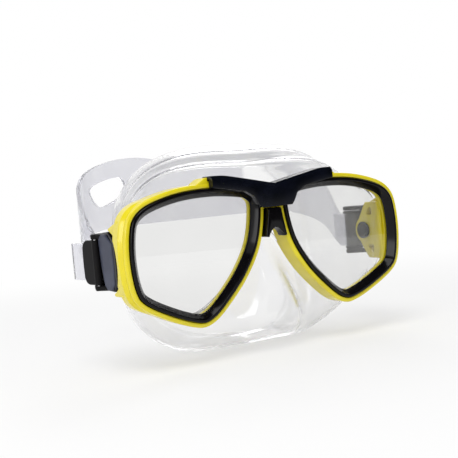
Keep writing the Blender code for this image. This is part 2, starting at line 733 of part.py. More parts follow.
def tab_frame(side):
    """Pin of the tab in plan, and the directions along and out of the tab."""
    slope = math.radians(TAIL_SLOPE)
    along = Vector((math.sin(slope), math.cos(slope)))
    out = Vector((math.cos(slope), -math.sin(slope)))
    roller = Vector((ROLLER_X, ROLLER_DEPTH))
    reach = WRAP_RADIUS + STRAP_THICKNESS / 2 + TAB_CLEARANCE + TAB_THICKNESS / 2
    pin = roller + out * reach - along * TAB_FORWARD
    return [Vector((side * v.x, v.y)) for v in (pin, along, out)]


def ear_outline(side):
    pin, along, out = tab_frame(1)
    roller = (ROLLER_X, ROLLER_DEPTH)
    inset = SEAT_GAP
    outline = [(PLATE_INNER + inset, PIVOT_DEPTH), (PLATE_OUTER - inset, PIVOT_DEPTH)]
    outline += arc(pin, EAR_PIN_ROUND, -70, 30, 5)
    outline += arc(roller, EAR_ROUND, 10, 170, 10)
    outline.append((PLATE_INNER + inset, ROLLER_DEPTH - EAR_ROUND - inset))
    return side_points(outline, side)


def make_buckle(build, side_name, side, materials):
    swing = build.swing
    pivot = (PIVOT_DEPTH, PIVOT_HEIGHT)
    pivot_point = (side * PLATE_INNER, *pivot)
    plate = rounded([(pivot[0] + y, pivot[1] + z) for y, z in PLATE_OUTLINE], PLATE_CORNER, 2)
    mesh = side_plate(f"buckle_body_{side_name}", [plate], PLATE_INNER, PLATE_OUTER, side)
    body = build.part(f"buckle_body_{side_name}", mesh, materials["buckle"], swing, pivot_point)
    pin, along, out = tab_frame(side)
    roller = (side * ROLLER_X, ROLLER_DEPTH)
    for way, ear_name in ((1, "top"), (-1, "bottom")):
        heights = sorted((PIVOT_HEIGHT + way * EAR_INNER, PIVOT_HEIGHT + way * EAR_OUTER))
        ear = plan_plate(f"ear_{ear_name}_{side_name}", [ear_outline(side)], *heights)
        boolean(body, "UNION", build.cutter(f"ear_{ear_name}_{side_name}", ear))
    beyond = EAR_OUTER + EAR_THICKNESS
    low, high = PIVOT_HEIGHT - beyond, PIVOT_HEIGHT + beyond
    for name, centre, radius in (("axle", roller, AXLE_RADIUS), ("pin", pin, TAB_PIN_RADIUS)):
        hole = plan_plate(f"{name}_hole", [circle(centre, radius + RUN_GAP, ROUND_STEPS)], low, high)
        boolean(body, "DIFFERENCE", build.cutter(f"{name}_hole_{side_name}", hole))
    seat = circle(pivot, STUD_RADIUS + RUN_GAP, ROUND_STEPS)
    socket = side_plate("socket", [seat], LUG_INNER, PLATE_INNER + STUD_SEAT + SEAT_GAP, side)
    boolean(body, "DIFFERENCE", build.cutter(f"stud_socket_{side_name}", socket))
    smooth(body, 30)

    inner_end = LUG_INNER - SEAT_GAP - WASHER_THICKNESS - STUD_END
    outer_end = PLATE_INNER + STUD_SEAT
    stud_profile = [(0, outer_end), (STUD_RADIUS, outer_end), (STUD_RADIUS, inner_end), (0, inner_end)]
    washer_face = LUG_INNER - SEAT_GAP
    washer_bore = STUD_RADIUS + SEAT_GAP
    washer_profile = [(WASHER_RADIUS, washer_face), (WASHER_RADIUS, washer_face - WASHER_THICKNESS),
                      (washer_bore, washer_face - WASHER_THICKNESS), (washer_bore, washer_face)]
    turned_parts = (("pivot_stud", stud_profile, False), ("pivot_washer", washer_profile, True))
    for name, profile, closed in turned_parts:
        mesh = turned(f"{name}_{side_name}", profile, closed)
        item = build.part(f"{name}_{side_name}", mesh, materials["pivot"], swing, (0, 0, 0))
        item.location = (0, 0, 0)
        item.rotation_euler = (0, side * math.pi / 2, 0)
        spin(item)

    half = ROLLER_HALF
    inside = STRAP_WIDTH / 2 + SEAT_GAP
    bore = AXLE_RADIUS + RUN_GAP
    roller_profile = [
        (ROLLER_FLANGE, half), (ROLLER_FLANGE, inside), (ROLLER_RADIUS, inside), (ROLLER_RADIUS, -inside),
        (ROLLER_FLANGE, -inside), (ROLLER_FLANGE, -half), (bore, -half), (bore, half),
    ]
    axle_profile = [(0, EAR_OUTER), (AXLE_RADIUS, EAR_OUTER), (AXLE_RADIUS, -EAR_OUTER), (0, -EAR_OUTER)]
    pin_profile = [(0, EAR_OUTER), (TAB_PIN_RADIUS, EAR_OUTER), (TAB_PIN_RADIUS, -EAR_OUTER), (0, -EAR_OUTER)]
    upright_parts = (
        ("strap_roller", roller_profile, True, roller, "roller"),
        ("roller_axle", axle_profile, False, roller, "steel"),
        ("tab_pin", pin_profile, False, tuple(pin), "steel"),
    )
    for name, profile, closed, place, slot in upright_parts:
        mesh = turned(f"{name}_{side_name}", profile, closed)
        item = build.part(f"{name}_{side_name}", mesh, materials[slot], swing)
        item.location = Vector((*place, PIVOT_HEIGHT)) - swing.location
        spin(item)

    reach = math.degrees(math.asin(TAB_THICKNESS / 2 / TAB_KNUCKLE))
    knuckle = arc((0, 0), TAB_KNUCKLE, reach, 360 - reach, 16)
    blade = [(TAB_LENGTH, -TAB_THICKNESS / 2), (TAB_LENGTH, TAB_THICKNESS / 2)]
    outline = [tuple(pin + along * a + out * b) for a, b in knuckle + blade]
    eye = circle(pin, TAB_PIN_RADIUS + RUN_GAP, ROUND_STEPS)
    tab_half = EAR_INNER - EAR_GAP
    mesh = plan_plate("tab", [outline, eye], PIVOT_HEIGHT - tab_half, PIVOT_HEIGHT + tab_half)
    tab = build.part(f"release_tab_{side_name}", mesh, materials["tab"], swing, (*pin, PIVOT_HEIGHT))
    rear = pin.y + along.y * TAB_LENGTH
    front = pin.y - TAB_KNUCKLE - TAB_CORNER
    corners = [(front, PIVOT_HEIGHT - tab_half), (rear, PIVOT_HEIGHT - tab_half),
               (rear, PIVOT_HEIGHT + tab_half), (front, PIVOT_HEIGHT + tab_half)]
    trim = side_plate("tab_trim", [rounded(corners, TAB_CORNER, 4)], 0.0, 2 * ROLLER_X, side)
    boolean(tab, "INTERSECT", build.cutter(f"tab_trim_{side_name}", trim))
    smooth(tab, 30)


def main():
    clear_scene()
    build = Build()
    yellow = finish("yellow_abs", (0.90, 0.78, 0.03), 0.25)
    gloss_black = finish("gloss_black_abs", (0.012, 0.012, 0.014), 0.12)
    glass = finish("tempered_glass", (0.90, 0.93, 0.92), 0.03, alpha=0.25)
    navy = finish("navy_abs", (0.030, 0.040, 0.070), 0.35)
    silicone = finish("clear_silicone", (0.80, 0.82, 0.84), 0.20, alpha=0.45)
    materials = {
        "buckle": finish("slate_abs", (0.075, 0.085, 0.125), 0.40),
        "tab": finish("matte_black_nylon", (0.016, 0.016, 0.018), 0.55),
        "roller": finish("black_acetal", (0.012, 0.012, 0.014), 0.35),
        "pivot": finish("black_nylon", (0.014, 0.014, 0.016), 0.45),
        "steel": finish("stainless_pin", (0.62, 0.62, 0.63), 0.25, metallic=1.0),
    }
    make_frame(build, yellow)
    for side_name, side in SIDES:
        make_lens(build, side_name, glass)
        make_rim(build, side_name, gloss_black)
        make_buckle(build, side_name, side, materials)
    make_cover(build, navy)
    make_yoke(build, gloss_black)
    make_skirt(build, silicone)
    make_strap(build, silicone)


main()
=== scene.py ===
# Looks of the twin-lens snorkel mask: smooth moulded surfaces, clear silicone, glass, lights and camera.
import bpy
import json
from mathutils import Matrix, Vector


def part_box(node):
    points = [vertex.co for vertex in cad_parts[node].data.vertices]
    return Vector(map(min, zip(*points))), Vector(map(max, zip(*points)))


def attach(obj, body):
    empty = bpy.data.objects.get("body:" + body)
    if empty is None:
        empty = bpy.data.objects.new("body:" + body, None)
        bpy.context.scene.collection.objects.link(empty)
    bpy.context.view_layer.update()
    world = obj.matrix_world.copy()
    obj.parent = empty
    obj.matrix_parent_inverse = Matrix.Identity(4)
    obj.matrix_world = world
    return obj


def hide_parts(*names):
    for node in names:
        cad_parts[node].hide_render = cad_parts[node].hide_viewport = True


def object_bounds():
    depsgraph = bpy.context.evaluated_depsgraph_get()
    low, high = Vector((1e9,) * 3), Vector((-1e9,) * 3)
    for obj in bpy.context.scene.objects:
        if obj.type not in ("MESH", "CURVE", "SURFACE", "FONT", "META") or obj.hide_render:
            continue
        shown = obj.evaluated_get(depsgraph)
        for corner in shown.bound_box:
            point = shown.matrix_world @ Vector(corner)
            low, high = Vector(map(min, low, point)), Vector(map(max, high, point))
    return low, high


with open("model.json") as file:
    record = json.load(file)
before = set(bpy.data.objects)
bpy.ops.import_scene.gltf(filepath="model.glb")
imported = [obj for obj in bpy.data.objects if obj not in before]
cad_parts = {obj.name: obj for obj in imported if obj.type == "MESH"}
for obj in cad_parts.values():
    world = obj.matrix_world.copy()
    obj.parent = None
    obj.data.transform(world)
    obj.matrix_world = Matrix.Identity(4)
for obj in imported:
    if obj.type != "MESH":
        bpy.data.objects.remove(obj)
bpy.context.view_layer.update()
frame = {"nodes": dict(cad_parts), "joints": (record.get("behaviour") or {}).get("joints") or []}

import json
import math

import bmesh
import bpy
import numpy as np
from mathutils import Matrix, Vector

mm = 0.001
weldGap = 0.002 * mm                              # points closer than this become one
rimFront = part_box("lens_rim_left")[0].y           # depths below are measured backwards from here, in mm
joints = {j["name"]: j for j in frame["joints"]}
pivotDepth = (joints["strap_swing"]["pos_m"][1] - rimFront) / mm
pivotHeight = joints["strap_swing"]["pos_m"][2] / mm
rollerX = joints["roller_right_spin"]["pos_m"][0] / mm
rollerDepth = (joints["roller_right_spin"]["pos_m"][1] - rimFront) / mm
tabPinX = joints["tab_right_lift"]["pos_m"][0] / mm
tabPinDepth = (joints["tab_right_lift"]["pos_m"][1] - rimFront) / mm
sides = {"left": -1, "right": 1}


# Curves

def splinePoints(points, steps, closed=False):
    # Catmull-Rom curve through the points: on each span a cubic blend of the four nearest points
    p = np.asarray(points, float)
    if closed:
        p = np.vstack([p[-1:], p, p[:2]])
    else:
        p = np.vstack([2 * p[:1] - p[1:2], p, 2 * p[-1:] - p[-2:-1]])
    t = np.arange(steps)[None, :, None] / steps
    a, b, c, d = p[:-3, None], p[1:-2, None], p[2:-1, None], p[3:, None]
    bend = (2 * a - 5 * b + 4 * c - d) * t ** 2 + (3 * b - a - 3 * c + d) * t ** 3
    run = 0.5 * (2 * b + (c - a) * t + bend).reshape(-1, p.shape[1])
    return run if closed else np.vstack([run, p[-2:-1]])


def evenPoints(run, count, closed=False):
    # the same line cut into pieces of equal length
    line = np.vstack([run, run[:1]]) if closed else run
    length = np.concatenate([[0], np.cumsum(np.linalg.norm(np.diff(line, axis=0), axis=1))])
    marks = np.linspace(0, length[-1], count + 1 if closed else count)
    out = np.stack([np.interp(marks, length, line[:, k]) for k in range(line.shape[1])], axis=1)
    return out[:-1] if closed else out


def roundCorners(corners, radius, steps=4):
    # closed polygon whose corners become arcs, each tangent to its two sides
    p = np.asarray(corners, float)
    r = np.broadcast_to(np.asarray(radius, float), (len(p),))[:, None]
    back = np.roll(p, 1, axis=0) - p
    ahead = np.roll(p, -1, axis=0) - p
    back /= np.linalg.norm(back, axis=1, keepdims=True)
    ahead /= np.linalg.norm(ahead, axis=1, keepdims=True)
    half = np.arccos(np.clip((back * ahead).sum(1, keepdims=True), -1, 1)) / 2
    centre = p + (back + ahead) / np.linalg.norm(back + ahead, axis=1, keepdims=True) * r / np.sin(half)
    first = p + back * r / np.tan(half) - centre
    last = p + ahead * r / np.tan(half) - centre
    t = np.linspace(0, 1, steps + 1)[None, :, None]
    spoke = first[:, None] * (1 - t) + last[:, None] * t
    spoke *= r[:, None] / np.maximum(np.linalg.norm(spoke, axis=2, keepdims=True), 1e-9)
    return (centre[:, None] + spoke).reshape(-1, 2)


def outwards(loop, distance):
    # a clockwise loop moved along its own normals, by one distance or one for each point
    along = np.roll(loop, -1, axis=0) - np.roll(loop, 1, axis=0)
    normal = np.stack([-along[:, 1], along[:, 0]], axis=1)
    normal /= np.linalg.norm(normal, axis=1, keepdims=True)
    return loop + normal * np.reshape(distance, (-1, 1))


# Meshes

def gridFaces(rows, columns, closeRows, closeColumns):
    # the four-sided faces of a grid of points, closed end to end where asked
    i = np.arange(rows if closeRows else rows - 1)[:, None]
    j = np.arange(columns if closeColumns else columns - 1)[None, :]
    i2, j2 = (i + 1) % rows, (j + 1) % columns
    corners = [i * columns + j, i * columns + j2, i2 * columns + j2, i2 * columns + j]
    return np.stack(corners, axis=-1).reshape(-1, 4)


def buildPiece(name, points, faces, material, sharp=40):
    # points in mm, depth from the rims' front, put into the frame in metres
    place = np.asarray(points, float).reshape(-1, 3) * mm + [0, rimFront, 0]
    mesh = bpy.data.meshes.new(name)
    mesh.from_pydata(place.tolist(), [], [list(face) for face in faces])
    smoothMesh(mesh, sharp)
    mesh.materials.append(material)
    piece = bpy.data.objects.new(name, mesh)
    bpy.context.scene.collection.objects.link(piece)
    return piece


def smoothMesh(mesh, sharp):
    # welds the seams, turns the faces outwards and keeps edges above the angle crisp
    cage = bmesh.new()
    cage.from_mesh(mesh)
    bmesh.ops.remove_doubles(cage, verts=cage.verts, dist=weldGap)
    bmesh.ops.recalc_face_normals(cage, faces=cage.faces)
    cage.to_mesh(mesh)
    cage.free()
    mesh.shade_smooth()
    mesh.set_sharp_from_angle(angle=math.radians(sharp))


def carve(piece, cutter, sharp=40):
    # takes the cutter's volume out of the piece
    step = piece.modifiers.new("carve", "BOOLEAN")
    step.object = cutter
    step.solver = "EXACT"
    carved = bpy.data.meshes.new_from_object(piece.evaluated_get(bpy.context.evaluated_depsgraph_get()))
    whole = piece.data
    piece.modifiers.clear()
    piece.data = carved
    bpy.data.meshes.remove(whole)
    carved.name = piece.name
    smoothMesh(carved, sharp)
    return piece


def ringPiece(name, sections, material, sharp=40):
    # closed section carried round a closed path: sections[path, section] are points
    s = np.asarray(sections)
    return buildPiece(name, s, gridFaces(s.shape[0], s.shape[1], True, True), material, sharp)


def barPiece(name, sections, material, sharp=40):
    # closed section carried along an open path, each end closed by a section shrunk to its middle
    s = np.asarray(sections)
    first, last = s[:1].mean(1, keepdims=True), s[-1:].mean(1, keepdims=True)
    s = np.concatenate([np.broadcast_to(first, s[:1].shape), s, np.broadcast_to(last, s[:1].shape)])
    return buildPiece(name, s, gridFaces(s.shape[0], s.shape[1], False, True), material, sharp)


def turnedPiece(name, profile, centre, axis, material, steps=48, sharp=40):
    # profile of radius and height, from axis to axis, turned about a line through centre
    p = np.asarray(profile, float)
    turn = np.linspace(0, 2 * np.pi, steps, endpoint=False)[:, None]
    a, b = p[None, :, 0] * np.cos(turn), p[None, :, 0] * np.sin(turn)
    h = np.broadcast_to(p[None, :, 1], a.shape)
    order = {"x": (h, a, b), "z": (a, b, h)}[axis]
    points = np.stack(order, axis=-1) + centre
    return buildPiece(name, points, gridFaces(steps, len(p), True, False), material, sharp)


def platePiece(name, outline, centre, levels, lift, material, sharp=40):
    # outline shrunk towards its centre ring by ring: levels are (share of outline, inset in mm, height)
    loop = np.asarray(outline, float)
    rows = []
    for share, inset, height in levels:
        ring = centre + (outwards(loop, -inset) - centre) * share
        rows.append(np.column_stack([ring, np.full(len(ring), height)]))
    s = lift(np.asarray(rows))
    return buildPiece(name, s, gridFaces(len(rows), len(loop), False, True), material, sharp)


def rideOn(piece, body, slot, *nodes):
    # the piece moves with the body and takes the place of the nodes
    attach(piece, body)
    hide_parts(*nodes)


def addModifier(piece, name, kind, **settings):
    step = piece.modifiers.new(name, kind)
    for key, value in settings.items():
        setattr(step, key, value)


# Materials

def hexColour(code):
    # sRGB hex to linear RGBA
    channels = [int(code[k:k + 2], 16) / 255 for k in (1, 3, 5)]
    return (*[c / 12.92 if c <= 0.04045 else ((c + 0.055) / 1.055) ** 2.4 for c in channels], 1.0)


def addNode(tree, kind, settings=None, links=None):
    # one node, its properties or socket values, and links given as socket: (node, output)
    node = tree.nodes.new(kind)
    for key, value in (settings or {}).items():
        if isinstance(key, int) or key in node.inputs.keys():
            node.inputs[key].default_value = value
        else:
            setattr(node, key, value)
    for key, (source, output) in (links or {}).items():
        tree.links.new(source.outputs[output], node.inputs[key])
    return node


def mouldedMaterial(name, look):
    # a plastic's colour drifts slightly and its gloss is uneven over a few mm, over a fine mould texture
    material = bpy.data.materials.new(name)
    material.use_nodes = True
    tree = material.node_tree
    shader = tree.nodes["Principled BSDF"]
    where = addNode(tree, "ShaderNodeTexCoord")
    drift = addNode(tree, "ShaderNodeTexNoise", {"Scale": 1 / (look["driftMm"] * mm), "Detail": 2.0},
                    {"Vector": (where, "Object")})
    colour = addNode(tree, "ShaderNodeValToRGB", links={"Fac": (drift, "Fac")})
    colour.color_ramp.elements[0].position = 0.35
    colour.color_ramp.elements[0].color = hexColour(look["dark"])
    colour.color_ramp.elements[1].position = 0.65
    colour.color_ramp.elements[1].color = hexColour(look["light"])
    tree.links.new(colour.outputs["Color"], shader.inputs["Base Color"])
    gloss = addNode(tree, "ShaderNodeMapRange", {"To Min": look["gloss"][0], "To Max": look["gloss"][1]},
                    {"Value": (drift, "Fac")})
    tree.links.new(gloss.outputs["Result"], shader.inputs["Roughness"])
    grain = addNode(tree, "ShaderNodeTexNoise", {"Scale": 1 / (look["grainMm"] * mm), "Detail": 3.0},
                    {"Vector": (where, "Object")})
    bump = addNode(tree, "ShaderNodeBump", {"Strength": look["bump"], "Distance": 0.05 * mm},
                   {"Height": (grain, "Fac")})
    tree.links.new(bump.outputs["Normal"], shader.inputs["Normal"])
    for socket, value in look["sockets"].items():
        shader.inputs[socket].default_value = value
    return material


def clearMaterial(name, look):
    # a see-through wall that lets lamp light and bounced light straight through, dimmed by one tint a face
    material = mouldedMaterial(name, look)
    tree = material.node_tree
    rays = addNode(tree, "ShaderNodeLightPath")
    lighting = addNode(tree, "ShaderNodeMath", {"operation": "MAXIMUM"},
                       {0: (rays, "Is Shadow Ray"), 1: (rays, "Is Diffuse Ray")})
    # light caught between the two faces of a wall leaks out after a few bounces, so edges look pale grey
    caught = addNode(tree, "ShaderNodeMath", {"operation": "GREATER_THAN", 1: look["bounces"]},
                     {0: (rays, "Ray Depth")})
    leak = addNode(tree, "ShaderNodeBsdfTransparent", {"Color": hexColour(look["leak"])})
    seen = addNode(tree, "ShaderNodeMixShader", links={
        0: (caught, 0), 1: (tree.nodes["Principled BSDF"], "BSDF"), 2: (leak, "BSDF")})
    through = addNode(tree, "ShaderNodeBsdfTransparent", {"Color": hexColour(look["through"])})
    blend = addNode(tree, "ShaderNodeMixShader", links={
        0: (lighting, 0), 1: (seen, "Shader"), 2: (through, "BSDF")})
    tree.links.new(blend.outputs["Shader"], tree.nodes["Material Output"].inputs["Surface"])
    return material


# yellow ABS: glossy moulded plastic, lemon in the light and mustard in the shade, with a clean hard shine
yellowAbs = mouldedMaterial("yellowAbs", {
    "dark": "#dfce12", "light": "#e8d81c", "driftMm": 14, "gloss": (0.18, 0.28), "grainMm": 0.5, "bump": 0.04,
    "sockets": {"IOR": 1.5, "Coat Weight": 0.2, "Coat Roughness": 0.06}})
# gloss black ABS: polished mould, nearly pure black with thin bright reflections
blackAbs = mouldedMaterial("glossBlackAbs", {
    "dark": "#080709", "light": "#0d0c0e", "driftMm": 10, "gloss": (0.08, 0.14), "grainMm": 0.5, "bump": 0.03,
    "sockets": {"IOR": 1.5, "Specular IOR Level": 0.18}})
# navy ABS: spark-eroded mould, blue black with an even satin that pales at grazing angles
navyAbs = mouldedMaterial("navySatinAbs", {
    "dark": "#05070e", "light": "#090c17", "driftMm": 9, "gloss": (0.18, 0.26), "grainMm": 0.35, "bump": 0.08,
    "sockets": {"IOR": 1.5, "Specular IOR Level": 0.16}})
# slate ABS: fine-grained mould, a blue grey with a soft wide sheen
slateAbs = mouldedMaterial("slateSatinAbs", {
    "dark": "#363a4a", "light": "#424657", "driftMm": 7, "gloss": (0.34, 0.46), "grainMm": 0.35, "bump": 0.12,
    "sockets": {"IOR": 1.5, "Specular IOR Level": 0.3}})
# nylon: rough mould, matte black and slightly grainy
blackNylon = mouldedMaterial("matteBlackNylon", {
    "dark": "#0c0b0d", "light": "#131214", "driftMm": 6, "gloss": (0.50, 0.62), "grainMm": 0.4, "bump": 0.25,
    "sockets": {"IOR": 1.5, "Specular IOR Level": 0.12}})
# stainless pin: ground, a blurred grey mirror
pinSteel = mouldedMaterial("groundStainless", {
    "dark": "#b9b9bb", "light": "#cbcbcd", "driftMm": 3, "gloss": (0.22, 0.34), "grainMm": 0.2, "bump": 0.1,
    "sockets": {"Metallic": 1.0}})
# clear silicone: slightly milky, polished by the mould, folds and edges read as pale grey lines
clearSilicone = clearMaterial("clearSilicone", {
    "dark": "#f5f5f6", "light": "#fafafa", "driftMm": 22, "gloss": (0.06, 0.14), "grainMm": 2.5, "bump": 0.04,
    "sockets": {"IOR": 1.41, "Transmission Weight": 0.97},
    "through": "#f4f4f4", "leak": "#e7e7e9", "bounces": 4})
# frosted silicone, for the strap: the same rubber from a duller mould, an even pale grey veil
frostedSilicone = clearMaterial("frostedSilicone", {
    "dark": "#e6e6ec", "light": "#ececf1", "driftMm": 18, "gloss": (0.16, 0.24), "grainMm": 0.6, "bump": 0.06,
    "sockets": {"IOR": 1.41, "Transmission Weight": 0.88},
    "through": "#e2e2e6", "leak": "#e7e7e9", "bounces": 4})
# tempered glass: clear, with the light grey of a 3 mm pane in front of white
temperedGlass = clearMaterial("temperedGlass", {
    "dark": "#ececeb", "light": "#f0f0ef", "driftMm": 40, "gloss": (0.0, 0.02), "grainMm": 5.0, "bump": 0.0,
    "sockets": {"IOR": 1.5, "Transmission Weight": 1.0},
    "through": "#f8f8f6", "leak": "#f0f0f0", "bounces": 6})
print("materials made")


# Lens outline, right side, x and z of the visible edge of the glass
lensSet = {
    "outline": [
        (10.8, 19.5), (12.9, 24.0), (18.5, 25.6), (32.0, 26.8), (48.0, 26.0), (62.0, 22.8), (69.3, 18.9),
        (71.8, 13.0), (72.7, 1.0), (71.2, -11.5), (67.6, -16.5), (56.0, -22.8), (45.5, -26.9), (40.3, -26.9),
        (33.0, -21.4), (22.0, -9.6), (14.0, 4.0)],
    "steps": 24, "points": 280,
}
lensLoop = splinePoints(lensSet["outline"], lensSet["steps"], closed=True)
lensLoop = evenPoints(lensLoop, lensSet["points"], closed=True)


def roundTheLens(section, side, push=0.0):
    # section of (distance from the glass's edge, depth) carried round the lens, push being extra distance
    push = np.broadcast_to(push, (len(section), len(lensLoop)))
    rows = []
    for (distance, depth), extra in zip(section, push):
        ring = outwards(lensLoop, distance + extra)
        rows.append(np.column_stack([side * ring[:, 0], np.full(len(ring), depth), ring[:, 1]]))
    return np.stack(rows, axis=1)


# Lens rims: a bevel from the front edge down to the glass, and a wall round the edge of the pane
rimSet = {"section": [(0.0, 3.7), (0.0, 4.2), (2.2, 4.2), (2.2, 6.8), (3.9, 6.8), (3.9, 0.0), (2.4, 0.0)],
          "round": [0.15, 0.05, 0.05, 0.1, 0.2, 0.75, 0.5]}
rimSection = roundCorners(rimSet["section"], rimSet["round"])
for sideName, side in sides.items():
    rim = ringPiece(f"lensRim.{sideName}", roundTheLens(rimSection, side), blackAbs)
    rideOn(rim, "mask", "rim_black", f"lens_rim_{sideName}")
print("rims made")

# Frame: a surround for each lens with a flank at the temple, a bridge beam, a web, two lugs and two guards
frameSet = {
    "section": [(4.2, 1.2), (6.4, 1.2), (6.4, 13.0), (2.6, 13.0), (0.8, 10.0), (0.8, 7.6), (4.2, 7.6)],
    "round": [0.35, 1.0, 0.8, 0.3, 0.4, 0.3, 0.3], "points": 90, "wall": 5.0,
    "flankFrom": 62.0, "flankFull": 72.0,                # x where the flank starts and where it is full
    "flankDepth": [0.0, 3.3, 4.2, 6.0, 14.0],            # a valley behind the front edge, then the flank
    "flankPush": [0.0, 0.0, -0.3, 1.4, 1.4],
}
recessSet = {"radius": 15.25, "floor": 75.9, "reach": 90.0, "steps": 120}
guardSet = {"outline": [(9.0, 19.8), (10.3, 19.4), (20.9, 16.3), (19.2, -15.4), (9.0, -15.3)], "round": 0.5,
            "points": 160, "inner": 75.5, "outer": 78.6, "edge": 0.6, "crown": 0.0, "centre": (14.5, 1.0)}


def recessCutter(side):
    # the round pocket that the buckle swivels in
    r = recessSet
    profile = [(0, r["floor"]), (r["radius"], r["floor"]), (r["radius"], r["reach"]), (0, r["reach"])]
    profile = [(x, side * h) for x, h in profile]
    return turnedPiece("recess", profile, (0, pivotDepth, pivotHeight), "x", yellowAbs, r["steps"])


def sidewaysLift(side):
    # puts rows of (depth, height, distance out) on one side of the mask
    return lambda rows: np.stack([side * rows[..., 2], rows[..., 0], rows[..., 1]], axis=-1)


def domedLevels(plate, backEdge=0.3, edgeSteps=6, faceSteps=8):
    # flat back, quarter-round edge, and a face that rises by crown times (1 - k squared)
    inner, outer, edge = plate["inner"], plate["outer"], plate["edge"]
    turn = np.radians(np.linspace(0, 90, edgeSteps))
    levels = [(0.0, backEdge, inner), (1.0, backEdge, inner), (1.0, 0.0, inner + backEdge)]
    levels += [(1.0, edge * (1 - math.cos(a)), outer - edge * (1 - math.sin(a))) for a in turn]
    return levels + [(k, edge, outer + plate["crown"] * (1 - k * k)) for k in np.linspace(0.9, 0, faceSteps)]


flankRun = frameSet["flankFull"] - frameSet["flankFrom"]
flank = np.clip((lensLoop[:, 0] - frameSet["flankFrom"]) / flankRun, 0, 1)
flank = flank ** 2 * (3 - 2 * flank)
frameSection = roundCorners(frameSet["section"], frameSet["round"])
frameSection = evenPoints(frameSection, frameSet["points"], closed=True)
framePush = np.interp(frameSection[:, 1], frameSet["flankDepth"], frameSet["flankPush"])
framePush = framePush * (frameSection[:, 0] > frameSet["wall"])
guardLoop = roundCorners(guardSet["outline"], guardSet["round"])
guardLoop = evenPoints(guardLoop, guardSet["points"], closed=True)
for sideName, side in sides.items():
    surroundRows = roundTheLens(frameSection, side, framePush[:, None] * flank)
    surround = ringPiece(f"frameSurround.{sideName}", surroundRows, yellowAbs)
    guard = platePiece(f"buckleGuard.{sideName}", guardLoop, np.array(guardSet["centre"]),
                       domedLevels(guardSet), sidewaysLift(side), yellowAbs)
    cutter = recessCutter(side)
    for part in (surround, guard):
        rideOn(carve(part, cutter), "mask", "frame_yellow", "main_frame")
    bpy.data.objects.remove(cutter, do_unlink=True)

beamSet = {
    "x": [0.0, 16.0, 27.0, 33.9, 34.1, 36.0, 38.3, 40.0, 42.5],
    "top": [28.8, 32.5, 34.7, 34.2, 36.0, 35.6, 34.2, 32.9, 32.2],
    "bottomX": [0.0, 5.0, 6.5, 9.0, 13.0, 18.0, 32.0, 42.5],
    "bottom": [19.8, 20.0, 24.0, 28.0, 30.0, 30.6, 31.6, 31.2],
    "front": 1.5, "back": 11.5, "round": 0.5, "mostRound": 0.45,        # the most is a share of the height
    "columns": 60,
}
beamX = np.unique(np.concatenate([np.linspace(0, beamSet["x"][-1], beamSet["columns"]), beamSet["x"]]))
beamX = np.concatenate([-beamX[:0:-1], beamX])
beamTop = np.interp(np.abs(beamX), beamSet["x"], beamSet["top"])
beamLow = np.interp(np.abs(beamX), beamSet["bottomX"], beamSet["bottom"])


def uprightSections(xs, shape):
    # at each x its own section of (depth, height) points
    return np.stack([np.column_stack([np.full(len(s), x), s]) for x, s in zip(xs, shape)])


def boxCorners(left, right, first, last):
    # the four corners of a box section, in order round it
    return [(left, first), (right, first), (right, last), (left, last)]


beamShape = []
for top, low in zip(beamTop, beamLow):
    corners = boxCorners(beamSet["front"], beamSet["back"], top, low)
    beamShape.append(roundCorners(corners, min(beamSet["round"], beamSet["mostRound"] * (top - low))))
beam = barPiece("bridgeBeam", uprightSections(beamX, beamShape), yellowAbs)
rideOn(beam, "mask", "frame_yellow", "main_frame")

webSet = {"z": [9.5, 14.0, 18.0, 24.0, 27.0], "half": [7.0, 6.4, 5.6, 6.5, 9.0],
          "front": 5.0, "back": 12.7, "round": 0.5, "rows": 24}
webZ = np.linspace(webSet["z"][0], webSet["z"][-1], webSet["rows"])
webHalf = np.interp(webZ, webSet["z"], webSet["half"])
webRows = []
for z, half in zip(webZ, webHalf):
    ring = roundCorners(boxCorners(-half, half, webSet["front"], webSet["back"]), webSet["round"])
    webRows.append(np.column_stack([ring, np.full(len(ring), z)]))
web = barPiece("bridgeWeb", np.stack(webRows), yellowAbs)
rideOn(web, "mask", "frame_yellow", "main_frame")

lugSet = {
    "inner": 72.4, "outer": 75.9, "front": 9.0, "shoulder": 21.5, "halfHeight": 15.5, "endRadius": 7.2,
    "window": [(17.0, 8.3), (22.5, 8.3), (17.0, 13.8)], "windowRound": 0.9, "hole": 3.2, "edge": 0.45,
    "tipTurn": 60, "tipPoints": 20, "holePoints": 40,
}


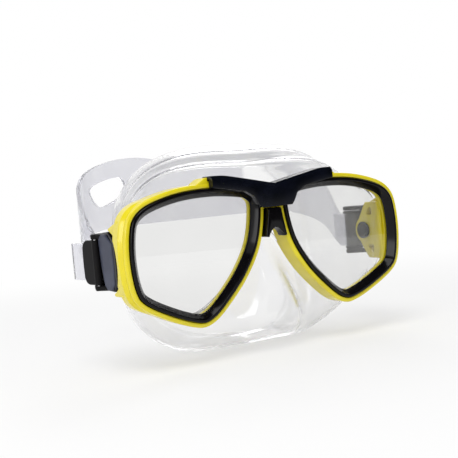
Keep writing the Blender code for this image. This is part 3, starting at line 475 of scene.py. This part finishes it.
def lugPiece(sideName, side):
    # flat outline with two windows and the pivot's hole, as a filled curve with rounded edges, then a mesh
    end = np.radians(np.linspace(-lugSet["tipTurn"], lugSet["tipTurn"], lugSet["tipPoints"]))
    tip = np.column_stack([pivotDepth + lugSet["endRadius"] * np.cos(end), lugSet["endRadius"] * np.sin(end)])
    high = lugSet["halfHeight"]
    outline = np.vstack([[(lugSet["front"], -high), (lugSet["shoulder"], -high)], tip,
                         [(lugSet["shoulder"], high), (lugSet["front"], high)]])
    window = roundCorners(lugSet["window"], lugSet["windowRound"])
    turn = np.linspace(0, 2 * np.pi, lugSet["holePoints"], endpoint=False)
    hole = np.column_stack([pivotDepth + lugSet["hole"] * np.cos(turn), lugSet["hole"] * np.sin(turn)])
    curve = bpy.data.curves.new("lug", "CURVE")
    curve.dimensions = "2D"
    curve.fill_mode = "BOTH"
    curve.extrude = (lugSet["outer"] - lugSet["inner"]) / 2 - lugSet["edge"]
    curve.bevel_depth = lugSet["edge"]
    curve.offset = -lugSet["edge"]
    for loop in (outline, window, window * [1, -1], hole):
        spline = curve.splines.new("POLY")
        spline.points.add(len(loop) - 1)
        rows = np.column_stack([loop, np.zeros(len(loop)), np.ones(len(loop))])        # x, y, z and weight
        spline.points.foreach_set("co", rows.ravel())
        spline.use_cyclic_u = True
    shape = bpy.data.objects.new("lug", curve)
    bpy.context.scene.collection.objects.link(shape)
    made = bpy.data.meshes.new_from_object(shape.evaluated_get(bpy.context.evaluated_depsgraph_get()))
    bpy.data.objects.remove(shape, do_unlink=True)
    points = np.array([vertex.co for vertex in made.vertices])
    faces = [list(face.vertices) for face in made.polygons]
    bpy.data.meshes.remove(made)
    middle = side * (lugSet["inner"] + lugSet["outer"]) / 2
    place = np.column_stack([middle + points[:, 2], points[:, 0], pivotHeight + points[:, 1]])
    return buildPiece(f"frameLug.{sideName}", place, faces, yellowAbs, 35)


for sideName, side in sides.items():
    rideOn(lugPiece(sideName, side), "mask", "frame_yellow", "main_frame")
print("frame made")

# Bridge cover: a V of satin navy with a bevel along its top and a lip back over the frame
coverSet = {
    "top": [(0.0, 30.7), (16.0, 34.0), (27.0, 36.1), (33.8, 36.4)],
    "bottom": [(0.0, 19.3), (8.8, 19.5), (10.4, 21.5), (12.2, 25.0), (16.5, 27.7), (24.0, 29.2),
               (34.4, 30.8)],
    "halfWidth": 34.4, "front": -3.8, "back": -0.3, "lip": 1.6, "lipBack": 6.0, "crown": 0.5,
    "bevel": 1.8, "bevelDepth": 1.44, "round": [0.3, 0.4, 0.3, 0.2, 0.2, 0.6, 0.3],
    "columns": 141, "steps": 16,
}
coverX = np.linspace(-coverSet["halfWidth"], coverSet["halfWidth"], coverSet["columns"])
topRun = splinePoints(coverSet["top"], coverSet["steps"])
coverTop = np.interp(np.abs(coverX), topRun[:, 0], topRun[:, 1])
coverLow = np.interp(np.abs(coverX), *np.transpose(coverSet["bottom"]))


def coverCorners(x, top, low):
    # bevel, top, lip over the frame, back, and a front that bulges by crown times (1 - (x / halfWidth)^2)
    c = coverSet
    nose = c["front"] - c["crown"] * (1 - (x / c["halfWidth"]) ** 2)
    under = top - c["lip"]
    return [(nose + c["bevelDepth"], top), (c["lipBack"], top), (c["lipBack"], under), (c["back"], under),
            (c["back"], low), (nose, low), (nose, top - c["bevel"])]


coverShape = [roundCorners(coverCorners(*row), coverSet["round"]) for row in zip(coverX, coverTop, coverLow)]
cover = barPiece("bridgeCover", uprightSections(coverX, coverShape), navyAbs, 35)
rideOn(cover, "mask", "cover_navy", "bridge_cover")

# Nose yoke: an arch whose inner and outer edges are two curves, with a rounded section between them
yokeSet = {
    "inner": [(4.3, 4.7), (2.9, 7.4), (0.0, 9.2), (-2.9, 7.4), (-4.3, 4.7)],
    "outer": [(6.1, 5.0), (4.3, 14.0), (3.6, 18.7), (0.0, 18.9), (-3.6, 18.7), (-4.3, 14.0), (-6.1, 5.0)],
    "front": -1.6, "back": 4.7, "round": 0.7, "mostRound": 0.4,         # the most is a share of the width
    "steps": 12, "columns": 60,
}
yokeIn = evenPoints(splinePoints(yokeSet["inner"], yokeSet["steps"]), yokeSet["columns"])
yokeOut = evenPoints(np.asarray(yokeSet["outer"], float), yokeSet["columns"])
yokeWidth = np.linalg.norm(yokeOut - yokeIn, axis=1)
yokeWay = (yokeOut - yokeIn) / yokeWidth[:, None]
yokeRows = []
for start, way, width in zip(yokeIn, yokeWay, yokeWidth):
    corners = boxCorners(0, width, yokeSet["front"], yokeSet["back"])
    ring = roundCorners(corners, min(yokeSet["round"], width * yokeSet["mostRound"]))
    across = start + ring[:, :1] * way
    yokeRows.append(np.column_stack([across[:, 0], ring[:, 1], across[:, 1]]))
yoke = barPiece("noseYoke", np.stack(yokeRows), blackAbs)
rideOn(yoke, "mask", "rim_black", "nose_yoke")
print("bridge made")

# Face skirt: rings of (x, depth, z) from the frame to the seal lip, right half, forehead to nose
skirtSet = {
    "rings": [
        [(0, 11.8, 26.5), (17.5, 11.8, 29.0), (36, 11.8, 30.3), (53, 11.8, 28.8), (67.5, 11.8, 24.2),
         (75, 11.8, 10.5), (74.6, 11.8, -8.5), (67.5, 11.8, -21.0), (53.5, 11.8, -27.6),
         (42.8, 11.8, -30.4), (23.5, 11.8, -18.5), (2.4, 11.8, 9.6), (0, 11.8, 11.4)],
        [(0, 14.2, 27.0), (17.5, 14.2, 29.2), (36, 14.2, 30.5), (53, 14.2, 29.0), (67, 14.2, 24.0),
         (69.4, 14.2, 10.0), (69, 14.2, -8.0), (66.5, 14.2, -21.2), (53.5, 14.2, -28.0),
         (42.8, 14.2, -30.6), (21.2, 14.2, -20.5), (2.4, 14.2, 9.0), (0, 14.2, 11.0)],
        [(0, 21, 37), (18, 21, 38.5), (37, 21, 39), (53, 21, 36), (65.5, 20, 28), (68.8, 21, 10),
         (68.4, 21, -9), (66.5, 20, -25), (55.5, 20, -35), (42.5, 19, -40), (24, 16, -32),
         (8, 9.5, -13), (0, 13.8, 1)],
        [(0, 30, 47), (19, 30, 48.5), (38, 31, 46.5), (53, 32, 40.5), (64, 33, 29), (67.2, 34, 10),
         (66.8, 34, -10), (64.5, 32, -29), (55, 31, -40), (40.5, 28, -47.5), (22, 12, -43),
         (12.5, 0, -31), (0, -3, -24)],
        [(0, 41, 53), (21, 42, 53.5), (40, 44, 50), (52, 47, 42.5), (61.5, 50, 29), (64.5, 53, 9),
         (63.8, 52, -12), (60.5, 48, -32), (50.5, 43, -44), (36, 38, -52.5), (20, 22, -49.5),
         (12, 2.5, -43), (0, -1, -41.5)],
        [(0, 50, 51), (20, 51, 51), (38.5, 54, 47), (50.5, 58, 39), (58.5, 61, 27), (61, 64, 8),
         (60.2, 63, -12), (56, 58, -30.5), (46, 52, -44.5), (33, 47, -51), (18, 34, -50.5),
         (11.2, 12, -47.5), (0, 9, -46.8)],
        [(0, 53, 43), (17, 54, 43), (33, 57, 39.5), (44, 61, 32), (50, 64, 22), (52, 66.5, 6),
         (51.5, 65, -12), (47.5, 60, -27), (39, 54, -39), (28, 49, -45), (16, 40, -46.5),
         (10, 30, -46), (0, 28, -45.5)],
    ],
    "wall": 1.6, "bead": 0.9, "beadReach": 0.025, "around": 300, "along": 140,
    "ribs": [{"place": 0.39, "width": 0.028, "height": 0.8}, {"place": 0.52, "width": 0.030, "height": 0.7}],
    "ribFull": 0.10, "ribEnd": 0.19,            # share of the way round, from the forehead's middle
}


def softSurface(control, along, around):
    # uniform cubic B-spline over a grid of control points, open along its rows and closed round its columns
    c = np.concatenate([2 * control[:1] - control[1:2], control, 2 * control[-1:] - control[-2:-1]])
    c = np.concatenate([c[:, -1:], c, c[:, :2]], axis=1)

    def blend(count, spans):
        t = np.linspace(0, spans, count)
        k = np.minimum(t.astype(int), spans - 1)
        f = (t - k)[:, None]
        second, third = 3 * f ** 3 - 6 * f ** 2 + 4, -3 * f ** 3 + 3 * f ** 2 + 3 * f + 1
        return k, np.hstack([(1 - f) ** 3, second, third, f ** 3]) / 6

    ku, wu = blend(along, control.shape[0] - 1)
    kv, wv = blend(around + 1, control.shape[1])
    rows = sum(wu[:, i, None, None] * c[ku + i] for i in range(4))
    return sum(wv[None, :, j, None] * rows[:, kv + j] for j in range(4))[:, :-1]


def thickShell(middle, wall, height):
    # outer and inner face half a wall from the raised middle surface, joined by a round bead at the last row
    along = np.gradient(middle, axis=0)
    across = np.roll(middle, -1, axis=1) - np.roll(middle, 1, axis=1)
    normal = np.cross(across, along)
    normal /= np.linalg.norm(normal, axis=2, keepdims=True)
    raised = middle + normal * height[..., None]
    half = wall[:, None, None] / 2
    tip = along[-1] / np.linalg.norm(along[-1], axis=1, keepdims=True)
    turn = np.radians(np.linspace(20, 160, 8))[:, None, None]
    bead = raised[-1] + half[-1] * (np.cos(turn) * normal[-1] + np.sin(turn) * tip)
    return np.concatenate([raised + normal * half, bead, (raised - normal * half)[::-1]])


def skirtRibs():
    # ribs across the forehead: height times exp(-((u - place) / width)^2), fading out at the temples
    u = np.linspace(0, 1, skirtSet["along"])[:, None]
    v = np.arange(skirtSet["around"])[None, :] / skirtSet["around"]
    aside = np.minimum(v, 1 - v)
    fade = 1 - np.clip((aside - skirtSet["ribFull"]) / (skirtSet["ribEnd"] - skirtSet["ribFull"]), 0, 1)
    rows = [rib["height"] * np.exp(-((u - rib["place"]) / rib["width"]) ** 2) for rib in skirtSet["ribs"]]
    return sum(rows) * fade


skirtControl = np.asarray(skirtSet["rings"], float)
skirtControl = np.concatenate([skirtControl, skirtControl[:, -2:0:-1] * [-1, 1, 1]], axis=1)
skirtMiddle = softSurface(skirtControl, skirtSet["along"], skirtSet["around"])
toLip = 1 - np.linspace(0, 1, skirtSet["along"])
skirtWall = skirtSet["wall"] + skirtSet["bead"] * np.exp(-(toLip / skirtSet["beadReach"]) ** 2)
skirtShell = thickShell(skirtMiddle, skirtWall, skirtRibs())
skirt = ringPiece("faceSkirt", skirtShell, clearSilicone, 180)
rideOn(skirt, "mask", "silicone", "face_skirt")
print("skirt made")

# Strap: a flat pattern of distance from the back's middle and height, bent along a path in plan
strapSet = {
    "back": [(0.0, 96.0), (30.0, 94.0), (50.0, 89.0), (64.0, 81.0), (72.0, 72.0), (75.6, 62.0)],
    "top": [(0, 47.5), (12, 49.0), (26, 51.5), (40, 51.5), (54, 49.0), (67, 45.0), (79, 38.5), (88, 30.5),
            (95, 21.5), (100.5, 14.5)],
    "bottom": [(0, 14.0), (40, 14.0), (60, 13.0), (75, 10.0), (88, 4.0), (98, -4.0)],
    "window": [(66.3, 35.0), (55.5, 39.6), (43.0, 41.4), (38.8, 38.5), (39.2, 34.0), (43.5, 29.8),
               (58.3, 26.0)],
    "innerSlope": 13.0, "flat": 14.0, "tailSlope": 9.0, "tail": 20.0, "neck": 7.5,
    "width": 18.0, "thickness": 2.0, "wrapRadius": 4.3, "softEdge": 0.5,
    "middleShare": (0.58, 0.5), "blendRun": 12.0,        # line between the two bands: height at back and tail
    "rows": 12, "edgeSteps": 12, "pathSteps": 24, "windowSteps": 40, "wrapSteps": 40,
    "columns": {"back": 24, "window": 41, "side": 40, "wrap": 30, "tail": 12},
}


def strapPath():
    # plan of the right half: round the back, along the flat run, round the roller and out to the tail's end
    s = strapSet
    inner, outer = math.radians(s["innerSlope"]), math.radians(s["tailSlope"])
    turn = np.linspace(math.pi - inner, 2 * math.pi - outer, s["wrapSteps"])
    wrap = [rollerX, rollerDepth] + s["wrapRadius"] * np.column_stack([np.cos(turn), np.sin(turn)])
    flatEnd = wrap[0] + s["flat"] * np.array([math.sin(inner), math.cos(inner)])
    tailEnd = wrap[-1] + s["tail"] * np.array([math.sin(outer), math.cos(outer)])
    mirrored = np.multiply(s["back"][1], [-1, 1])         # keeps the middle of the back smooth
    knots = np.vstack([mirrored, s["back"], flatEnd, wrap[0]])
    back = splinePoints(knots, s["pathSteps"])[s["pathSteps"]:-s["pathSteps"]]
    path = np.vstack([back, wrap, tailEnd])
    length = np.concatenate([[0], np.cumsum(np.linalg.norm(np.diff(path, axis=0), axis=1))])
    return path, length, length[len(back)]


strapLine, strapLength, wrapStart = strapPath()
strapNeck = wrapStart - strapSet["neck"]
strapEnd = strapLength[-1]
windowRun = splinePoints(strapSet["window"], strapSet["windowSteps"], closed=True)
windowLow, windowHigh = windowRun[:, 0].min(), windowRun[:, 0].max()


def strapEdge(points, end):
    # height of an edge as a function of the distance from the back's middle
    run = splinePoints([*points, (strapNeck, end)], strapSet["edgeSteps"])
    run = np.vstack([run, [(strapEnd, end)]])
    return lambda s: np.interp(s, run[:, 0], run[:, 1])


topEdge = strapEdge(strapSet["top"], pivotHeight + strapSet["width"] / 2)
bottomEdge = strapEdge(strapSet["bottom"], pivotHeight - strapSet["width"] / 2)


def windowEdges(s):
    # upper and lower edge of the window at a distance along the strap, one middle line outside it
    first, last = windowRun[:, 0].argmax(), windowRun[:, 0].argmin()
    ring = np.roll(windowRun, -first, axis=0)
    cut = (last - first) % len(ring)
    upper, lower = ring[:cut + 1][::-1], np.vstack([ring[cut:], ring[:1]])
    low, high = np.interp(s, lower[:, 0], lower[:, 1]), np.interp(s, upper[:, 0], upper[:, 1])
    atBack, atTail = strapSet["middleShare"]
    share = np.interp(s, [0, windowLow, windowHigh, strapEnd], [atBack, 0, 0, atTail])
    middle = bottomEdge(s) + share * (topEdge(s) - bottomEdge(s))
    blend = np.clip(np.maximum(windowLow - s, s - windowHigh) / strapSet["blendRun"], 0, 1)
    tip = np.where(s < (windowLow + windowHigh) / 2, windowRun[last, 1], windowRun[first, 1])
    outside = tip * (1 - blend) + middle * blend
    inside = (s > windowLow) & (s < windowHigh)
    return np.where(inside, low, outside), np.where(inside, high, outside)


columns = strapSet["columns"]
tailStart = strapEnd - strapSet["tail"]
openShare = (1 - np.cos(np.linspace(0, np.pi, columns["window"]))) / 2
halfS = np.unique(np.round(np.concatenate([
    np.linspace(0, windowLow, columns["back"]), windowLow + (windowHigh - windowLow) * openShare,
    np.linspace(windowHigh, wrapStart, columns["side"]), np.linspace(wrapStart, tailStart, columns["wrap"]),
    np.linspace(tailStart, strapEnd, columns["tail"])]), 6))
strapS = np.concatenate([-halfS[:0:-1], halfS])
share = np.linspace(0, 1, strapSet["rows"])[None, :]
away = np.abs(strapS)
planX = np.sign(strapS) * np.interp(away, strapLength, strapLine[:, 0])
planY = np.interp(away, strapLength, strapLine[:, 1])
lowEdge, highEdge = windowEdges(away)
bands = []
for bottom, top in ((bottomEdge(away), lowEdge), (highEdge, topEdge(away))):
    z = bottom[:, None] * (1 - share) + top[:, None] * share
    plan = [np.broadcast_to(line[:, None], z.shape) for line in (planX, planY)]
    bands.append(np.stack([*plan, z], axis=-1).reshape(-1, 3))
bandFaces = gridFaces(len(strapS), strapSet["rows"], False, False)
strapFaces = np.vstack([bandFaces, bandFaces + len(bands[0])])
strap = buildPiece("headStrap", np.concatenate(bands), strapFaces, frostedSilicone, 180)
addModifier(strap, "wall", "SOLIDIFY", thickness=strapSet["thickness"] * mm, offset=0.0)
addModifier(strap, "softEdge", "BEVEL", width=strapSet["softEdge"] * mm, segments=3,
            limit_method="ANGLE", angle_limit=math.radians(60))
rideOn(strap, "strap_and_buckles", "silicone", "strap")
print("strap made")

# Buckles: black plate with a slate cap, two ears, roller, pivot disc and release tab
plateSet = {
    "outline": [(-10.6, 10.0), (-3.6, 14.5), (4.5, 14.0), (8.8, 9.6), (8.0, -1.0), (6.2, -9.8), (2.0, -13.4),
                (-5.8, -13.7), (-10.8, -9.8), (-11.2, 0.0)],
    "round": 2.2, "inner": 76.2, "outer": 79.2, "edge": 0.7, "crown": 0.2,
    "slope": 0.0, "slopeFrom": 0.0, "points": 120, "roundSteps": 6,
}
capSet = {
    "outline": [(-8.1, 8.8), (-2.0, 13.2), (1.5, 13.4), (4.5, 11.4), (3.4, -2.0), (1.6, -10.6), (-0.8, -13.0),
                (-4.8, -13.2), (-8.2, -9.8), (-8.5, 0.0)],
    "round": 1.4, "inner": 77.6, "outer": 79.6, "edge": 0.5, "crown": 0.2,
    "slope": 6.5, "slopeFrom": -8.5, "points": 120, "roundSteps": 6,
}
earSet = {"low": 11.1, "high": 13.3, "rollerRound": 4.8, "pinRound": 1.9, "edge": 0.4,
          "inPlate": 0.3, "points": 120, "centre": (78.0, 33.0)}
rollerSet = {"radius": 3.0, "flange": 4.9, "inside": 9.3, "half": 10.7, "bore": 1.3, "edge": 0.4}
tabSet = {"slope": 9.0, "length": 11.2, "thickness": 1.6, "half": 10.7, "corner": 3.5, "bow": 0.35,
          "round": 0.5, "points": 72, "blunt": 0.1414,    # blunt keeps the rear edge from closing to a point
          "knuckle": 1.9, "knuckleEdge": 0.3, "pinHole": 1.1}
washerSet = {"radius": 4.6, "bore": 3.3, "inner": 71.3, "outer": 72.1, "edge": 0.2}


def platePart(name, p, side, material):
    # outline about the pivot, raised into a domed plate
    loop = roundCorners(p["outline"], p["round"], p["roundSteps"])
    loop = evenPoints(loop, p["points"], closed=True) + [pivotDepth, pivotHeight]

    def lift(rows):
        # the face leans outwards to the rear by its slope
        lean = math.tan(math.radians(p["slope"])) * (rows[..., 0] - pivotDepth - p["slopeFrom"])
        return sidewaysLift(side)(rows + lean[..., None] * [0, 0, 1])

    return platePiece(name, loop, np.array([pivotDepth, pivotHeight]), domedLevels(p), lift, material)


def earPart(sideName, side, way):
    # flat ear with rounded edges, from the plate round the tab's pin and the roller's axle
    e = earSet
    pinTurn, rollerTurn = np.radians(np.linspace(-70, 30, 8)), np.radians(np.linspace(10, 170, 20))
    inside, outside = plateSet["inner"] + e["inPlate"], plateSet["outer"] - e["inPlate"]
    base = [(inside, pivotDepth), (outside, pivotDepth)]
    pin = np.column_stack([np.cos(pinTurn), np.sin(pinTurn)]) * e["pinRound"] + [tabPinX, tabPinDepth]
    end = np.column_stack([np.cos(rollerTurn), np.sin(rollerTurn)]) * e["rollerRound"]
    end = end + [rollerX, rollerDepth]
    foot = [(inside, rollerDepth - e["rollerRound"] - e["inPlate"])]
    loop = evenPoints(np.vstack([base, pin, end, foot])[::-1], e["points"], closed=True)
    levels = [(0.0, e["edge"], e["low"]), (1.0, e["edge"], e["low"]), (1.0, 0.0, e["low"] + e["edge"]),
              (1.0, 0.0, e["high"] - e["edge"]), (1.0, e["edge"], e["high"]), (0.0, e["edge"], e["high"])]

    def lift(rows):
        return np.stack([side * rows[..., 0], rows[..., 1], pivotHeight + way * rows[..., 2]], axis=-1)

    word = "upper" if way > 0 else "lower"
    return platePiece(f"buckleEar.{word}.{sideName}", loop, np.array(e["centre"]), levels, lift, blackNylon)


def tabPart(sideName, side):
    # rounded section carried along the blade, drawn in at the rear corners, its face slightly bowed
    t = tabSet
    slope = math.radians(t["slope"])
    along, out = np.array([math.sin(slope), math.cos(slope)]), np.array([math.cos(slope), -math.sin(slope)])
    a = np.unique(np.concatenate([np.linspace(0, t["length"] - t["corner"], 20),
                                  t["length"] - t["corner"] * (1 - np.sin(np.linspace(0, np.pi / 2, 16)))]))
    drop = np.clip(a - (t["length"] - t["corner"]), 0, t["corner"])
    half = t["half"] - t["corner"] + np.sqrt(np.maximum(t["corner"] ** 2 - drop ** 2, t["blunt"] ** 2))
    rows = []
    for reach, h in zip(a, half):
        w = t["thickness"] / 2
        ring = evenPoints(roundCorners(boxCorners(-h, h, -w, w), t["round"]), t["points"], closed=True)
        lift = ring[:, 1] + t["bow"] * (1 - (ring[:, 0] / t["half"]) ** 2) * (ring[:, 1] > 0)
        plan = np.array([tabPinX, tabPinDepth]) + along * reach + lift[:, None] * out
        rows.append(np.column_stack([side * plan[:, 0], plan[:, 1], pivotHeight + ring[:, 0]]))
    return barPiece(f"releaseTab.{sideName}", np.stack(rows), blackNylon)


def rollerPart(sideName, side):
    # spool with a bore and two flanges, the lower half mirroring the upper
    r = rollerSet
    upper = [(r["bore"], r["half"]), (r["flange"] - r["edge"], r["half"]),
             (r["flange"], r["half"] - r["edge"]), (r["flange"], r["inside"]), (r["radius"], r["inside"])]
    profile = upper + [(x, -z) for x, z in reversed(upper)] + upper[:1]
    centre = (side * rollerX, rollerDepth, pivotHeight)
    return turnedPiece(f"strapRoller.{sideName}", profile, centre, "z", blackNylon)


def washerPart(sideName, side):
    # flat ring on the lug's inner face, its inner rim eased
    w = washerSet
    profile = [(w["bore"], w["outer"]), (w["radius"], w["outer"]), (w["radius"], w["inner"] + w["edge"]),
               (w["radius"] - w["edge"], w["inner"]), (w["bore"], w["inner"]), (w["bore"], w["outer"])]
    profile = [(x, side * h) for x, h in profile]
    return turnedPiece(f"pivotWasher.{sideName}", profile, (0, pivotDepth, pivotHeight), "x", blackNylon)


def knucklePart(sideName, side):
    # tube round the tab's pin, its ends eased
    t = tabSet
    k, half, edge, hole = t["knuckle"], t["half"], t["knuckleEdge"], t["pinHole"]
    profile = [(hole, -half), (k - edge, -half), (k, -half + edge), (k, half - edge), (k - edge, half),
               (hole, half), (hole, -half)]
    centre = (side * tabPinX, tabPinDepth, pivotHeight)
    return turnedPiece(f"tabKnuckle.{sideName}", profile, centre, "z", blackNylon)


for sideName, side in sides.items():
    body = f"buckle_body_{sideName}"
    plate = platePart(f"bucklePlate.{sideName}", plateSet, side, blackAbs)
    rideOn(plate, "strap_and_buckles", "rim_black", body)
    cap = platePart(f"buckleCap.{sideName}", capSet, side, slateAbs)
    rideOn(cap, "strap_and_buckles", "buckle_slate", body)
    for way in (1, -1):
        rideOn(earPart(sideName, side, way), "strap_and_buckles", "tab_black", body)
    rideOn(rollerPart(sideName, side), f"roller_{sideName}", "tab_black", f"strap_roller_{sideName}")
    rideOn(washerPart(sideName, side), "strap_and_buckles", "tab_black", f"pivot_washer_{sideName}")
    rideOn(tabPart(sideName, side), f"tab_{sideName}", "tab_black", f"release_tab_{sideName}")
    rideOn(knucklePart(sideName, side), f"tab_{sideName}", "tab_black", f"release_tab_{sideName}")
print("buckles made")

# Solids whose shape is right keep it and get their finish
solidFinish = {"lens": temperedGlass, "pivot_stud": blackNylon, "roller_axle": pinSteel, "tab_pin": pinSteel}
for node, material in solidFinish.items():
    for sideName in sides:
        slots = frame["nodes"][f"{node}_{sideName}"].data.materials
        slots.clear()
        slots.append(material)

# Stage: pale floor, white surroundings, soft lamps
stageSet = {
    "floor": "#f2f2f2", "reach": 4.0, "under": 0.4,       # half width in m, and the gap under the mask in mm
    "veil": (0.45, 1.0), "veilFrom": (0.16, 0.50),        # share of white near and far, and where, in m
    "worldLevel": 0.6, "felt": "#101010",
}
cardSet = {                     # dark cards of a photo studio, corners in m, seen only in reflections
    "ceilingCard": [(-1.3, -1.5, 1.05), (1.3, -1.5, 1.05), (1.3, 0.6, 1.05), (-1.3, 0.6, 1.05)],
    "frontCard": [(-0.35, -0.98, -0.05), (1.0, -0.38, -0.05), (1.0, -0.38, 0.8), (-0.35, -0.98, 0.8)],
}
lampSet = [
    {"name": "topSoftbox", "place": (-0.25, -0.35, 0.75), "aim": (0, -0.04, 0), "size": 0.5, "power": 3.0},
    {"name": "sideSoftbox", "place": (-0.75, -0.35, 0.25), "aim": (0, -0.03, 0), "size": 0.35, "power": 1.4},
    {"name": "rearSoftbox", "place": (0.45, 0.6, 0.55), "aim": (0, 0, 0), "size": 0.4, "power": 1.6},
]


def seenRays(tree):
    # 1 for what the eye sees directly, in a reflection or through glass, and 0 for light on the object
    rays = addNode(tree, "ShaderNodeLightPath")
    pair = addNode(tree, "ShaderNodeMath", {"operation": "MAXIMUM"},
                   {0: (rays, "Is Camera Ray"), 1: (rays, "Is Transmission Ray")})
    return addNode(tree, "ShaderNodeMath", {"operation": "MAXIMUM"},
                   {0: (pair, 0), 1: (rays, "Is Glossy Ray")})


def makeFloor():
    # matt white paper that keeps the shadow near the mask and is plain white further away
    s = stageSet
    z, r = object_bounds()[0][2] - s["under"] * mm, s["reach"]
    mesh = bpy.data.meshes.new("floor")
    mesh.from_pydata([(-r, -r, z), (r, -r, z), (r, r, z), (-r, r, z)], [], [(0, 1, 2, 3)])
    floor = bpy.data.objects.new("floor", mesh)
    bpy.context.scene.collection.objects.link(floor)
    paper = bpy.data.materials.new("whitePaper")
    paper.use_nodes = True
    tree = paper.node_tree
    shader = tree.nodes["Principled BSDF"]
    shader.inputs["Base Color"].default_value = hexColour(s["floor"])
    shader.inputs["Roughness"].default_value = 0.9
    shader.inputs["Specular IOR Level"].default_value = 0.0
    where = addNode(tree, "ShaderNodeTexCoord")
    away = addNode(tree, "ShaderNodeVectorMath", {"operation": "LENGTH"}, {0: (where, "Object")})
    veil = addNode(tree, "ShaderNodeMapRange", {
        "interpolation_type": "SMOOTHSTEP", "From Min": s["veilFrom"][0], "From Max": s["veilFrom"][1],
        "To Min": s["veil"][0], "To Max": s["veil"][1]}, {"Value": (away, "Value")})
    share = addNode(tree, "ShaderNodeMath", {"operation": "MULTIPLY"},
                    {0: (veil, "Result"), 1: (seenRays(tree), 0)})
    white = addNode(tree, "ShaderNodeEmission")
    blend = addNode(tree, "ShaderNodeMixShader", links={
        0: (share, 0), 1: (shader, "BSDF"), 2: (white, "Emission")})
    tree.links.new(blend.outputs["Shader"], tree.nodes["Material Output"].inputs["Surface"])
    mesh.materials.append(paper)


def makeWorld():
    # plain white to the eye and in reflections, and a lower level as light on the mask
    world = bpy.data.worlds.new("studio")
    world.use_nodes = True
    bpy.context.scene.world = world
    tree = world.node_tree
    level = addNode(tree, "ShaderNodeMapRange", {"To Min": stageSet["worldLevel"], "To Max": 1.0},
                    {"Value": (seenRays(tree), 0)})
    tree.links.new(level.outputs["Result"], tree.nodes["Background"].inputs["Strength"])
    tree.nodes["Background"].inputs["Color"].default_value = (1, 1, 1, 1)


def makeCards():
    # what glossy black shows in front and above, so that it stays black between the lamps' reflections
    felt = bpy.data.materials.new("blackFelt")
    felt.use_nodes = True
    shader = felt.node_tree.nodes["Principled BSDF"]
    shader.inputs["Base Color"].default_value = hexColour(stageSet["felt"])
    shader.inputs["Roughness"].default_value = 1.0
    for name, corners in cardSet.items():
        mesh = bpy.data.meshes.new(name)
        mesh.from_pydata(corners, [], [(0, 1, 2, 3)])
        mesh.materials.append(felt)
        card = bpy.data.objects.new(name, mesh)
        bpy.context.scene.collection.objects.link(card)
        card.visible_camera = card.visible_diffuse = card.visible_transmission = card.visible_shadow = False


def makeLamps():
    # square soft boxes that face their aim
    for lamp in lampSet:
        light = bpy.data.lights.new(lamp["name"], "AREA")
        light.shape = "SQUARE"
        light.size = lamp["size"]
        light.energy = lamp["power"]
        holder = bpy.data.objects.new(lamp["name"], light)
        holder.location = lamp["place"]
        way = Vector(lamp["aim"]) - Vector(lamp["place"])
        holder.rotation_euler = way.to_track_quat("-Z", "Y").to_euler()
        bpy.context.scene.collection.objects.link(holder)


# Camera: solved from both rims as a mirror pair, focal length 850 pixels in the 458 pixel frame
cameraSet = {
    "place": (-0.22279, -0.40979, 0.03031), "right": (0.86573, -0.49258, -0.08878),
    "up": (0.10112, -0.00160, 0.99487), "back": (-0.49019, -0.87027, 0.04842),
    "focalPixels": 850, "framePixels": 458, "sensorMm": 36, "clipStart": 0.01,
}


def makeCamera():
    # the camera looks against its back axis
    c = cameraSet
    lens = bpy.data.cameras.new("photoCamera")
    lens.sensor_width = c["sensorMm"]
    lens.lens = c["sensorMm"] * c["focalPixels"] / c["framePixels"]
    lens.clip_start = c["clipStart"]
    camera = bpy.data.objects.new("photoCamera", lens)
    axes = Matrix([c["right"], c["up"], c["back"]]).transposed()
    camera.matrix_world = Matrix.Translation(c["place"]) @ axes.to_4x4()
    bpy.context.scene.collection.objects.link(camera)
    bpy.context.scene.camera = camera


makeFloor()
makeWorld()
makeCards()
makeLamps()
makeCamera()
bpy.context.scene.view_settings.view_transform = "Standard"
print("stage made")
